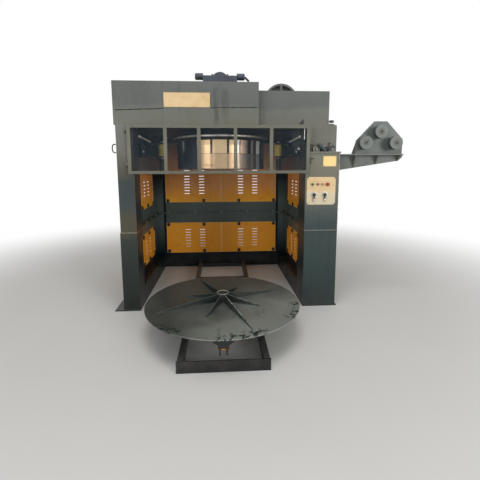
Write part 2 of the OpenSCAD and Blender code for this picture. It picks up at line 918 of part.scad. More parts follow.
module control_plate() {
  c = control_corner;
  w = control_w;
  h = control_h;
  lever_r = 8;
  color("wheat")
    difference() {
      translate([control_x, front_y, control_z])
        rotate([90, 0, 0])
          linear_extrude(control_t)
            polygon([[c, 0], [w - c, 0], [w, c], [w, h - c], [w - c, h], [c, h], [0, h - c], [0, c]]);
      for (x = lever_xs)
        y_cylinder(control_x + x, front_y - control_t - cut, front_y + cut, lever_z,
                   2 * (lever_r + run_clear));
    }
}

module push_buttons() {
  color("firebrick")
    for (i = [0 : 3])
      translate([control_x + button_xs[i], front_y - control_t, button_z])
        rotate([90, 0, 0]) {
          cylinder(h = 6, d = button_d + 8);
          cylinder(h = 16, d = i == 3 ? stop_button_d : button_d);
        }
}

// A rotary switch with a lever that hangs down
module lever(x) {
  y1 = front_y - control_t;
  y_cylinder(x, y1 - 14.3, y1 - 0.3, lever_z, 44);
  y_cylinder(x, y1 - 1, front_y - 0.3, lever_z, 16);
  block([x - 6, y1 - 24, lever_z - 62], [x + 6, y1 - 12, lever_z + 10]);
}

module left_lever() {
  color("black")
    lever(control_x + lever_xs[0]);
}

module right_lever() {
  color("black")
    lever(control_x + lever_xs[1]);
}

// The plates on the left hood and on the right column, as left end, bottom, width and height
name_plate_t = 2;
hood_plate = [hood_split_x - 1027, left_hood_top - 271, 500, 157];
column_plate = [in_x + 200, table_z - 165, 150, 116];

module name_plates() {
  color("wheat")
    for (p = [hood_plate, column_plate])
      block([p[0], front_y - name_plate_t, p[1]], [p[0] + p[2], front_y, p[1] + p[3]]);
}

// The T-shaped beam with its tapered web and the gussets under its flange
module outrigger_beam() {
  flange_t = 12;
  flange_out = 96;
  z1 = outrigger_z - flange_t;
  tip_x = right_x + outrigger_l;
  y0 = web_y - flange_out;
  y1 = y0 + outrigger_flange_w;
  chamfer = 47;
  corner_x = tip_x - 56;
  corner_w = 60;
  gusset_xs = [217, 485, 749];
  gusset_room = 16;
  slope = (web_h - web_tip_h) / outrigger_l;
  color("dimgray") {
    translate([0, 0, z1])
      linear_extrude(flange_t)
        polygon([
          [right_x, y0], [corner_x, y0], [tip_x, y0 + corner_w], [tip_x, y1 - corner_w],
          [corner_x, y1], [right_x, y1]
        ]);
    translate([0, web_y + web_t / 2, 0])
      rotate([90, 0, 0])
        linear_extrude(web_t)
          polygon([
            [right_x, z1 + 1], [right_x, z1 - web_h + 12], [tip_x - chamfer, z1 - web_tip_h + 12],
            [tip_x, z1 - 20], [tip_x, z1 + 1]
          ]);
    for (g = gusset_xs)
      translate([right_x + g, 0, 0])
        gusset(y0, y1, z1, web_h - gusset_room - g * slope);
  }
}

// A triangular plate across the web, wide at the flange
module gusset(y0, y1, z1, h) {
  t = 10;
  edge = 6;
  toe = 10;
  translate([-t / 2, 0, 0])
    rotate([90, 0, 90])
      linear_extrude(t)
        polygon([
          [y0 + edge, z1 + cut], [web_y - toe, z1 - h], [web_y + toe, z1 - h], [y1 - edge, z1 + cut]
        ]);
}

plate_x1 = right_x + outrigger_l - 8;
plate_x0 = plate_x1 - pulley_plate_w;
guide_xs = [for (f = [0.138, 0.451, 0.770]) plate_x0 + f * pulley_plate_w];
guide_zs = [for (f = [0.335, 0.665, 0.335]) outrigger_z + f * pulley_plate_h];

module pulley_plate() {
  t = web_t;
  w = pulley_plate_w;
  h = pulley_plate_h;
  z = outrigger_z;
  axle_d = 30;
  boss_d = 64;
  brace_y = 130;
  guide_y = web_y - guide_pulley_out + 4;
  color("dimgray") {
    translate([0, web_y + t / 2, 0])
      rotate([90, 0, 0])
        linear_extrude(t)
          polygon([
            [plate_x0, z], [plate_x1, z], [plate_x1, z + 0.466 * h],
            [plate_x1 - 0.347 * w, z + h], [plate_x0 + 0.376 * w, z + h],
            [plate_x0, z + 0.418 * h]
          ]);
    translate([plate_x0, 0, z])
      rotate([90, 0, 90])
        linear_extrude(t)
          polygon([[web_y, 0], [web_y + brace_y, 0], [web_y, 0.4 * h]]);
    for (i = [0 : 2]) {
      y_cylinder(guide_xs[i], guide_y, web_y, guide_zs[i], axle_d);
      y_cylinder(guide_xs[i], guide_y + guide_pulley_w, web_y, guide_zs[i], boss_d);
    }
  }
}

// A grooved guide pulley on its fixed axle
module guide_pulley(x, z) {
  r = guide_pulley_d / 2;
  w = guide_pulley_w;
  bore = 15 + run_clear;
  translate([x, web_y - guide_pulley_out + w, z])
    rotate([90, 0, 0])
      rotate_extrude()
        polygon([
          [bore, 0], [r, 0], [r, 14], [r - 16, w / 2], [r, w - 14], [r, w],
          [34, w], [32, w - 3], [26, w - 3], [24, w], [bore, w]
        ]);
}

module left_guide_pulley() {
  color("dimgray")
    guide_pulley(guide_xs[0], guide_zs[0]);
}

module upper_guide_pulley() {
  color("dimgray")
    guide_pulley(guide_xs[1], guide_zs[1]);
}

module right_guide_pulley() {
  color("dimgray")
    guide_pulley(guide_xs[2], guide_zs[2]);
}

bar_t = 10;
rails_y0 = -rails_front + bar_t;

module rails() {
  color("darkslategray")
    both_sides()
      block([-rails_w / 2, rails_y0, 0], [-rails_w / 2 + rail_w, back_y, rail_h]);
}

module rail_cross_bars() {
  tie_w = 60;
  inner = rails_w / 2 - rail_w;
  color("darkslategray") {
    block([-rails_w / 2 - 6, -rails_front, 0], [rails_w / 2 + 6, rails_y0, rail_h]);
    for (y = [-tie_w / 2, back_y - tie_w])
      block([-inner, y, 0], [inner, y + tie_w, 60]);
  }
}

spindle_top = turntable_z + 30;
thrust_z = 240;

deck_z = 176;
deck_t = 12;
tow_z = 224;
tow_t = 12;
tow_half_w = 45;
tow_reach = 716;

module trolley() {
  half_l = 330;
  half_w = 300;
  rail_t = 40;
  rail_depth = 60;
  riser_l = 60;
  post_d = 220;
  axle_d = 30;
  wheel_t = 34;
  axle_in = half_w - 5;
  wheel_z = rail_h + trolley_wheel_d / 2;
  wheel_x = rails_w / 2 - rail_w / 2;
  color("darkslategray")
    translate([0, trolley_y, 0]) {
      block([-half_w, -half_l, deck_z], [half_w, half_l, deck_z + deck_t]);
      for (x = [-half_w, half_w - rail_t])
        block([x, -half_l, deck_z - rail_depth], [x + rail_t, half_l, deck_z + 1]);
      for (y = [-half_l + 70, half_l - 70])
        for (s = [-1, 1]) {
          translate([s * wheel_x, y, wheel_z])
            rotate([0, 90, 0])
              cylinder(h = wheel_t, d = trolley_wheel_d, center = true);
          translate([s * (wheel_x + axle_in) / 2, y, wheel_z])
            rotate([0, 90, 0])
              cylinder(h = abs(wheel_x - axle_in), d = axle_d, center = true);
        }
      translate([0, 0, deck_z + deck_t - cut])
        cylinder(h = thrust_z - deck_z - deck_t + cut, d = post_d);
      translate([0, 0, thrust_z - cut])
        cylinder(h = spindle_top - thrust_z + cut, d = spindle_d);
      block([-tow_half_w, -half_l, deck_z + deck_t - cut],
            [tow_half_w, riser_l - half_l, tow_z + tow_t]);
      block([-tow_half_w, -tow_reach, tow_z], [tow_half_w, cut - half_l, tow_z + tow_t]);
    }
}

// A triangular plate that stands on the disc, from the hub out to radius r
module fin(r) {
  rotate([90, 0, 0])
    linear_extrude(fin_t, center = true)
      polygon([[20, turntable_z - 1], [r, turntable_z - 1], [r, turntable_z + 3],
               [20, turntable_z + fin_h]]);
}

module turntable() {
  fin_turn = 22;
  cap_h = 6;
  color("gray")
    translate([0, trolley_y, 0])
      difference() {
        union() {
          translate([0, 0, turntable_z - turntable_t])
            cylinder(h = turntable_t, d = turntable_d, $fn = 160);
          translate([0, 0, thrust_z + 0.3])
            cylinder(h = turntable_z - thrust_z - 1, d = 220);
          translate([0, 0, turntable_z - 1])
            cylinder(h = fin_h + cap_h, d = hub_d);
          for (i = [0 : 3]) {
            rotate([0, 0, fin_turn + i * 90])
              fin(long_fin_r);
            rotate([0, 0, fin_turn + 45 + i * 90])
              fin(short_fin_r);
          }
        }
        translate([0, 0, thrust_z])
          cylinder(h = spindle_top - thrust_z + 5, d = spindle_d + 2 * run_clear);
      }
}

// The forked tow eye under the end of the tow bar, with its bolt and its guard plate
module tow_clevis() {
  y0 = trolley_y - tow_reach;
  leg_x = 20;
  leg_t = 18;
  leg_l = 50;
  leg_z = 138;
  head_t = 18;
  bolt_z = 180;
  bolt_d = 18;
  bolt_end = 8;
  plate_t = 10;
  out_x = leg_x + leg_t;
  head_z = tow_z - head_t;
  top_z = turntable_z - turntable_t - 10;
  wing_x = 98;
  wing_h = 12;
  neck_x = tow_half_w + 5;
  neck_z = tow_z + 8;
  color("black") {
    block([-out_x, y0 - cut, head_z], [out_x, y0 + leg_l, tow_z]);
    for (x = [-out_x, leg_x])
      block([x, y0, leg_z], [x + leg_t, y0 + leg_l, head_z + cut]);
    translate([-out_x - bolt_end, y0 + leg_l / 2, bolt_z])
      rotate([0, 90, 0])
        cylinder(h = 2 * (out_x + bolt_end), d = bolt_d);
    translate([0, y0, 0])
      rotate([90, 0, 0])
        linear_extrude(plate_t)
          polygon([
            [-out_x, head_z], [out_x, head_z], [neck_x, neck_z], [wing_x, top_z - wing_h],
            [wing_x, top_z], [-wing_x, top_z], [-wing_x, top_z - wing_h], [-neck_x, neck_z]
          ]);
  }
}

base_plates();
left_front_column();
right_front_column();
rear_posts();
sills();
mid_rails();
top_rails();
side_plates();
rear_lower_panels();
rear_upper_panels();
side_lower_panels();
side_upper_panels();
roof_plate();
left_hood();
right_hood();
gearbox();
motor();
fan_cowl();
belt_guard();
drum();
drum_flange();
drum_shaft();
guard_door();
guard_windows();
door_hinges();
door_latch();
left_press_arm();
right_press_arm();
left_press_roller();
right_press_roller();
arm_brackets();
die_table();
die_box();
left_die_roller();
right_die_roller();
control_plate();
push_buttons();
left_lever();
right_lever();
name_plates();
outrigger_beam();
pulley_plate();
left_guide_pulley();
upper_guide_pulley();
right_guide_pulley();
rails();
rail_cross_bars();
trolley();
turntable();
tow_clevis();
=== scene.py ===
"""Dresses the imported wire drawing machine: paints, sheets, bolts, weld beads and the small iron parts.

Lengths are in metres in the model's own frame: X to the right, Y into the machine, Z up from the floor,
with the drum's axis at X = 0, Y = 0. The photograph's frame is 480 by 480 pixels.
"""
from __future__ import annotations

import json
import logging
import math
from dataclasses import dataclass
from enum import Enum
from typing import Any, Sequence

import bmesh
import bpy
import numpy as np
from mathutils import Matrix, Vector

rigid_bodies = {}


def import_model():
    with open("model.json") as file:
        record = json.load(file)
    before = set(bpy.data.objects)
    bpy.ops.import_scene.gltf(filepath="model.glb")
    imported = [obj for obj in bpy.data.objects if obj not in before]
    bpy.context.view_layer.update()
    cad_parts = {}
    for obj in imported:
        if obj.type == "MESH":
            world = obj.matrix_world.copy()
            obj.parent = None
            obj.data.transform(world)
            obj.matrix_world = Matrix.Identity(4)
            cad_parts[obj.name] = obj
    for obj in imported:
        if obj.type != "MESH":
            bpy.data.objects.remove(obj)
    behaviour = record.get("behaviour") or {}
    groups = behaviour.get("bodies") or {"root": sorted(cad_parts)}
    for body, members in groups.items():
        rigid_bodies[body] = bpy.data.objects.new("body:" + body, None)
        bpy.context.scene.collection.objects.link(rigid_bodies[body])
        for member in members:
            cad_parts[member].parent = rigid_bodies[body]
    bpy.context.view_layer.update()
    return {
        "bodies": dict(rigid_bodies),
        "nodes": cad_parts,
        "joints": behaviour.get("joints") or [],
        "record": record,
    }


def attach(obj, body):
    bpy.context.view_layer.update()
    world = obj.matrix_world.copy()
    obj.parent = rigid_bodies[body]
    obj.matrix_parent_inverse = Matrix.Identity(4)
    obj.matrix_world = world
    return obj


log = logging.getLogger("drawing_machine")

Triple = tuple[float, float, float]
Stops = tuple[tuple[float, Triple], ...]
Span = tuple[float, float]

FRONT: Triple = (0, -1, 0)
BACK: Triple = (0, 1, 0)


@dataclass(frozen=True)
class Shape:
    """A surface as points (n, 3) and four-cornered faces (m, 4)."""

    points: np.ndarray
    faces: np.ndarray

    def moved(self, x: float, y: float, z: float) -> "Shape":
        """The same surface shifted by x, y and z."""
        return Shape(self.points + np.array([x, y, z]), self.faces)

    def turned(self, axis: str, degrees: float) -> "Shape":
        """The same surface turned about the X, Y or Z axis through the origin."""
        turn = np.array(Matrix.Rotation(math.radians(degrees), 3, axis))
        return Shape(self.points @ turn.T, self.faces)

    def facing(self, direction: Triple) -> "Shape":
        """The same surface with its +Z turned to a direction."""
        turn = np.array(Vector((0, 0, 1)).rotation_difference(Vector(direction)).to_matrix())
        return Shape(self.points @ turn.T, self.faces)

    def stamped(self, places: Sequence[Triple]) -> "Shape":
        """Copies of the surface at several places: every point plus every place, faces numbered on.

        Args:
            places: the places.

        Returns:
            The copies as one surface.
        """
        spots = np.asarray(places, float).reshape(-1, 3)
        points = (self.points[None] + spots[:, None]).reshape(-1, 3)
        count = np.arange(len(spots))[:, None, None] * len(self.points)
        return Shape(points, (self.faces[None] + count).reshape(-1, 4))

    @staticmethod
    def joined(*shapes: "Shape") -> "Shape":
        """Several surfaces as one.

        Args:
            shapes: the surfaces.

        Returns:
            All of them as one.
        """
        starts = np.cumsum([0] + [len(s.points) for s in shapes[:-1]])
        return Shape(np.concatenate([s.points for s in shapes]),
                     np.concatenate([s.faces + n for s, n in zip(shapes, starts)]))


def grid(points: np.ndarray, wrap_rows: bool = False, wrap_columns: bool = True) -> Shape:
    """A grid of points (rows, columns, 3) as a surface: each face joins two rows and two columns.

    Args:
        points: the grid.
        wrap_rows: joins the last row to the first.
        wrap_columns: joins the last column to the first.

    Returns:
        The surface.
    """
    rows, columns = points.shape[:2]
    number = np.arange(rows * columns).reshape(rows, columns)
    if wrap_rows:
        number = np.concatenate([number, number[:1]])
    if wrap_columns:
        number = np.concatenate([number, number[:, :1]], axis=1)
    faces = np.stack([number[:-1, :-1], number[:-1, 1:], number[1:, 1:], number[1:, :-1]], -1)
    return Shape(points.reshape(-1, 3), faces.reshape(-1, 4))


def circle(radius: float, count: int = 16, start: float = 0.0) -> np.ndarray:
    """Points (r cos t, r sin t) round a circle."""
    t = math.radians(start) + np.linspace(0, 2 * math.pi, count, endpoint=False)
    return np.stack([radius * np.cos(t), radius * np.sin(t)], -1)


def rounded(width: float, height: float, radius: float, steps: int = 4) -> np.ndarray:
    """A rectangle's outline about the origin, with quarter circles (r cos t, r sin t) at its corners.

    Args:
        width: its size along the first number of each pair.
        height: its size along the second.
        radius: the corners' radius.
        steps: the steps round each corner.

    Returns:
        The outline's pairs, counterclockwise.
    """
    t = np.radians(np.linspace(0, 90, steps + 1))
    corners = []
    for k, (sx, sy) in enumerate([(1, 1), (-1, 1), (-1, -1), (1, -1)]):
        centre = np.array([sx * (width / 2 - radius), sy * (height / 2 - radius)])
        corners.append(centre + radius * np.stack([np.cos(t + k * math.pi / 2), np.sin(t + k * math.pi / 2)], -1))
    return np.concatenate(corners)


def turned_part(profile: Sequence[tuple[float, float]], count: int = 32, start: float = 0.0) -> Shape:
    """A turned surface: a profile point (r, h) goes to (r cos t, r sin t, h) for t round the Z axis.

    Args:
        profile: the pairs (r, h).
        count: the steps round the axis.
        start: the first step's angle in degrees.

    Returns:
        The surface.
    """
    rh = np.asarray(profile, float)
    ring = circle(1.0, count, start)
    points = np.empty((len(rh), count, 3))
    points[..., :2] = rh[:, None, :1] * ring[None]
    points[..., 2] = rh[:, None, 1]
    return grid(points)


def carried(path: np.ndarray, outline: np.ndarray, normal: Triple = (0, 0, 1), closed: bool = False,
            swell: np.ndarray | None = None) -> Shape:
    """An outline carried along a path: point = path(s) + k(s) (a side(s) + b up(s)).

    Args:
        path: points (n, 3) of the path.
        outline: the outline's pairs (a, b).
        normal: the direction that the outline's second number leans to.
        closed: joins the path's end to its start; otherwise each end is closed on its middle.
        swell: the factor k along the path.

    Returns:
        The surface.
    """
    path = np.asarray(path, float)
    along = np.roll(path, -1, 0) - np.roll(path, 1, 0) if closed else np.gradient(path, axis=0)
    along = along / np.linalg.norm(along, axis=1, keepdims=True)
    side = np.cross(along, np.asarray(normal, float))
    side = side / np.linalg.norm(side, axis=1, keepdims=True)
    up = np.cross(side, along)
    k = np.ones(len(path)) if swell is None else swell
    points = path[:, None] + k[:, None, None] * (
        outline[None, :, :1] * side[:, None] + outline[None, :, 1:] * up[:, None])
    if not closed:
        ends = [np.repeat(p[None, None], len(outline), 1) for p in (path[0], path[-1])]
        points = np.concatenate([ends[0], points, ends[1]])
    return grid(points, wrap_rows=closed)


def upright(outline: np.ndarray, x: float = 0.0, y: float = 0.0, z: float = 0.0) -> np.ndarray:
    """A flat outline stood up as a path: its pairs (a, b) go to (x + a, y, z + b)."""
    return np.stack([x + outline[:, 0], np.full(len(outline), y), z + outline[:, 1]], -1)


def arc(radius: float, start: float, end: float, count: int) -> np.ndarray:
    """Points (r cos t, r sin t) for t from start to end in degrees."""
    t = np.radians(np.linspace(start, end, count))
    return radius * np.stack([np.cos(t), np.sin(t)], -1)


def wire(path: np.ndarray, radius: float, count: int = 6, closed: bool = True) -> Shape:
    """A round wire along a path that lies in an XZ plane: a circle carried along it."""
    return carried(path, circle(radius, count), BACK, closed)


def inset(outline: np.ndarray, by: float) -> np.ndarray:
    """The outline moved inwards: each corner goes along the sum of its two edges' normals.

    Args:
        outline: the outline's pairs, counterclockwise.
        by: how far each edge moves.

    Returns:
        The smaller outline.
    """
    edge = np.roll(outline, -1, 0) - outline
    edge = edge / np.linalg.norm(edge, axis=1, keepdims=True)
    inward = np.stack([-edge[:, 1], edge[:, 0]], -1)
    before = np.roll(inward, 1, 0)
    lean = 1 + np.sum(inward * before, axis=1, keepdims=True)
    return outline + by * (inward + before) / np.maximum(lean, 0.2)


def slab(outline: np.ndarray, depth: float, edge: float = 0.002) -> Shape:
    """A plate: the outline at heights 0 to depth, its edges rounded: inset e(1 - sin t) at height e(1 - cos t).

    Args:
        outline: the plate's outline.
        depth: its thickness along +Z.
        edge: the radius e of its edges.

    Returns:
        The closed surface.
    """
    rings = [(inset(outline, edge - edge * math.sin(a)), edge * (1 - math.cos(a))) for a in np.radians([0, 45, 90])]
    rings += [(ring, depth - z) for ring, z in reversed(rings)]
    middle = outline.mean(0)[None].repeat(len(outline), 0)
    rings = [(middle, 0.0)] + rings + [(middle, depth)]
    return grid(np.stack([np.concatenate([r, np.full((len(r), 1), z)], 1) for r, z in rings]))


def bead(start: Triple, end: Triple, radius: float, seed: int = 0, squash: float = 0.6, rough: float = 1.0) -> Shape:
    """A weld bead: a flattened circle carried from start to end; radius factor 1 + rough (three sine waves).

    Args:
        start: its first point.
        end: its last point.
        radius: its middle radius.
        seed: shifts the waves.
        squash: its height as a share of its width.
        rough: how strong the waves are.

    Returns:
        The surface.
    """
    a, b = np.asarray(start, float), np.asarray(end, float)
    length = float(np.linalg.norm(b - a))
    step = 0.006
    s = np.linspace(0, 1, max(8, int(length / step)))
    run = s * length
    swell = 1 + rough * (0.16 * np.sin(run * 520 + seed) + 0.10 * np.sin(run * 197 + 2 * seed)
                         + 0.08 * np.sin(run * 61 + seed))
    normal = (0, 0, 1) if abs((b - a)[2]) < 0.5 * length else (0, 1, 0)
    ring = circle(radius, 8) * np.array([1.0, squash] if normal[2] == 0 else [squash, 1.0])
    return carried(a + s[:, None] * (b - a), ring, normal, swell=swell)


def hex_bolt(size: float, height: float | None = None, washer: bool = True) -> Shape:
    """A hexagon head on a washer, along +Z: six-sided rings with a chamfered top over a round ring.

    Args:
        size: the head's width across its flats, nearly.
        height: its height; 0.65 of the size if none is given.
        washer: puts a washer under it.

    Returns:
        The surface.
    """
    h = height or 0.65 * size
    r = size * 0.56
    head = turned_part([(0, 0), (r, 0), (r, h * 0.86), (r * 0.86, h), (0, h)], 6)
    if not washer:
        return head
    w = size * 0.12
    ring = turned_part([(0, 0), (size * 0.74, 0), (size * 0.76, w * 0.5), (size * 0.72, w), (0, w)], 18)
    return Shape.joined(ring, head.moved(0, 0, w))


def socket_screw(size: float) -> Shape:
    """A round screw head with a hollow, along +Z.

    Args:
        size: the head's diameter.

    Returns:
        The surface.
    """
    r, h = size / 2, size * 0.6
    rim, hollow = [(0, 0), (r, 0), (r, h * 0.85), (r * 0.9, h)], [(r * 0.55, h), (r * 0.5, h * 0.45), (0, h * 0.4)]
    return turned_part(rim + hollow, 16)


def linear(colour: Triple) -> tuple[float, float, float, float]:
    """A display colour given as 0 to 255 turned into the linear one that the shader takes.

    Args:
        colour: red, green and blue.

    Returns:
        The linear colour with an alpha of 1.
    """
    c = np.asarray(colour, float) / 255
    c = np.where(c <= 0.04045, c / 12.92, ((c + 0.055) / 1.055) ** 2.4)
    return (float(c[0]), float(c[1]), float(c[2]), 1.0)


class Term:
    """One number of a shader, for use in plain arithmetic."""

    def __init__(self, net: "Net", socket: bpy.types.NodeSocket) -> None:
        """Keeps the net and the socket that gives the number."""
        self.net = net
        self.socket = socket

    def _math(self, operation: str, *values: Any) -> "Term":
        """A Math node on the values."""
        node = self.net.add("ShaderNodeMath", {"operation": operation}, dict(enumerate(values)))
        return Term(self.net, node.outputs[0])

    def __add__(self, other: Any) -> "Term":
        """self + other."""
        return self._math("ADD", self, other)

    __radd__ = __add__

    def __sub__(self, other: Any) -> "Term":
        """self - other."""
        return self._math("SUBTRACT", self, other)

    def __rsub__(self, other: Any) -> "Term":
        """other - self."""
        return self._math("SUBTRACT", other, self)

    def __mul__(self, other: Any) -> "Term":
        """self * other."""
        return self._math("MULTIPLY", self, other)

    __rmul__ = __mul__

    def __truediv__(self, other: Any) -> "Term":
        """self / other."""
        return self._math("DIVIDE", self, other)

    def __rtruediv__(self, other: Any) -> "Term":
        """other / self."""
        return self._math("DIVIDE", other, self)

    def fn(self, operation: str, *others: Any) -> "Term":
        """Any other Math operation, such as ABSOLUTE or SINE."""
        return self._math(operation, self, *others)

    def step(self, low: float, high: float) -> "Term":
        """0 below low, 1 above high and smooth between.

        Args:
            low: where it is 0.
            high: where it is 1; it may be the lower one.

        Returns:
            The term.
        """
        flip = low > high
        node = self.net.add("ShaderNodeMapRange", {"interpolation_type": "SMOOTHSTEP"},
                            {"Value": self, "From Min": min(low, high), "From Max": max(low, high),
                             "To Min": 1.0 if flip else 0.0, "To Max": 0.0 if flip else 1.0})
        return Term(self.net, node.outputs[0])


class Net:
    """The nodes of one material, or of the world."""

    def __init__(self, name: str, tree: bpy.types.NodeTree | None = None) -> None:
        """Makes a material with an empty tree, or empties the tree that is given.

        Args:
            name: the material's name.
            tree: the world's tree, in place of a new material's.
        """
        if tree is None:
            self.material = bpy.data.materials.new(name)
            self.material.use_nodes = True
            tree = self.material.node_tree
        self.tree = tree
        self.tree.nodes.clear()
        self.where = self.add("ShaderNodeTexCoord").outputs["Object"]
        split = self.add("ShaderNodeSeparateXYZ", {}, {0: self.where})
        self.x, self.y, self.z = (Term(self, o) for o in split.outputs)

    def add(self, kind: str, settings: dict[str, Any] | None = None, inputs: dict[Any, Any] | None = None) -> Any:
        """Adds a node.

        Args:
            kind: the node's type.
            settings: its properties, set first; "stops" fills a colour ramp.
            inputs: its sockets' values or links, by name or number.

        Returns:
            The node.
        """
        node = self.tree.nodes.new(kind)
        for key, value in (settings or {}).items():
            if key == "stops":
                ramp = node.color_ramp
                while len(ramp.elements) < len(value):
                    ramp.elements.new(1.0)
                for element, (place, colour) in zip(ramp.elements, value):
                    element.position = place
                    element.color = colour
            else:
                setattr(node, key, value)
        for key, value in (inputs or {}).items():
            if isinstance(value, Term):
                value = value.socket
            if isinstance(value, bpy.types.NodeSocket):
                self.tree.links.new(value, node.inputs[key])
            else:
                node.inputs[key].default_value = value
        return node

    def seen(self) -> Term:
        """1 for rays from the camera, from shiny surfaces and through glass, else 0.

        Returns:
            The term.
        """
        out = self.add("ShaderNodeLightPath").outputs
        names = ("Is Camera Ray", "Is Glossy Ray", "Is Transmission Ray")
        camera, glossy, through = (Term(self, out[n]) for n in names)
        return camera.fn("MAXIMUM", glossy).fn("MAXIMUM", through)

    def noise(self, scale: float, detail: float = 3.0, rough: float = 0.5, stretch: Triple = (1, 1, 1),
              shift: float = 0.0) -> Term:
        """Noise from 0 to 1 on Object coordinates.

        Args:
            scale: the pattern's fineness.
            detail: the number of finer layers.
            rough: how strong the finer layers are.
            stretch: the factor on each axis; a small one draws the pattern out.
            shift: moves the pattern, so that two of them differ.

        Returns:
            The term.
        """
        place = self.add("ShaderNodeMapping", {"vector_type": "POINT"},
                         {"Vector": self.where, "Scale": stretch, "Location": (shift, shift * 0.7, shift * 1.3)})
        node = self.add("ShaderNodeTexNoise", {}, {"Vector": place.outputs[0], "Scale": scale, "Detail": detail,
                                                   "Roughness": rough})
        return Term(self, node.outputs[0])

    def ramp(self, value: Term, stops: Stops, low: float, high: float, kind: str = "LINEAR") -> Any:
        """A colour along a value.

        Args:
            value: the value.
            stops: the pairs of value and display colour.
            low: the value at the ramp's start.
            high: the value at its end.
            kind: how it goes from stop to stop.

        Returns:
            The colour's socket.
        """
        scaled = (value - low) / (high - low)
        put = [(min(1.0, max(0.0, (v - low) / (high - low))), linear(c)) for v, c in stops]
        node = self.add("ShaderNodeValToRGB", {"stops": put}, {0: scaled})
        node.color_ramp.interpolation = kind
        return node.outputs[0]

    def mix(self, factor: Any, a: Any, b: Any, blend: str = "MIX") -> Any:
        """Two colours mixed.

        Args:
            factor: 0 for the first and 1 for the second.
            a: the first, a socket or a display colour.
            b: the second.
            blend: the way of mixing.

        Returns:
            The colour's socket.
        """
        put = [linear(c) if isinstance(c, tuple) and len(c) == 3 else c for c in (a, b)]
        node = self.add("ShaderNodeMix", {"data_type": "RGBA", "blend_type": blend}, {0: factor, 6: put[0], 7: put[1]})
        return node.outputs[2]

    def bump(self, height: Term, distance: float, strength: float = 1.0, below: Any = None) -> Any:
        """A Bump node's normal from a height.

        Args:
            height: the height, from 0 to 1.
            distance: what 1 stands for in metres.
            strength: the share of it that shows.
            below: another bump's normal, which this one lies on.

        Returns:
            The normal's socket.
        """
        inputs = {"Height": height, "Distance": distance, "Strength": strength}
        if below is not None:
            inputs["Normal"] = below
        return self.add("ShaderNodeBump", {}, inputs).outputs[0]

    def shade(self, **inputs: Any) -> bpy.types.Material:
        """Ends the material in a Principled shader.

        Args:
            inputs: the shader's inputs, with underlines for the spaces in their names.

        Returns:
            The material.
        """
        put = {k.replace("_", " "): v for k, v in inputs.items()}
        shader = self.add("ShaderNodeBsdfPrincipled", {}, put)
        self.add("ShaderNodeOutputMaterial", {}, {0: shader.outputs[0]})
        return self.material


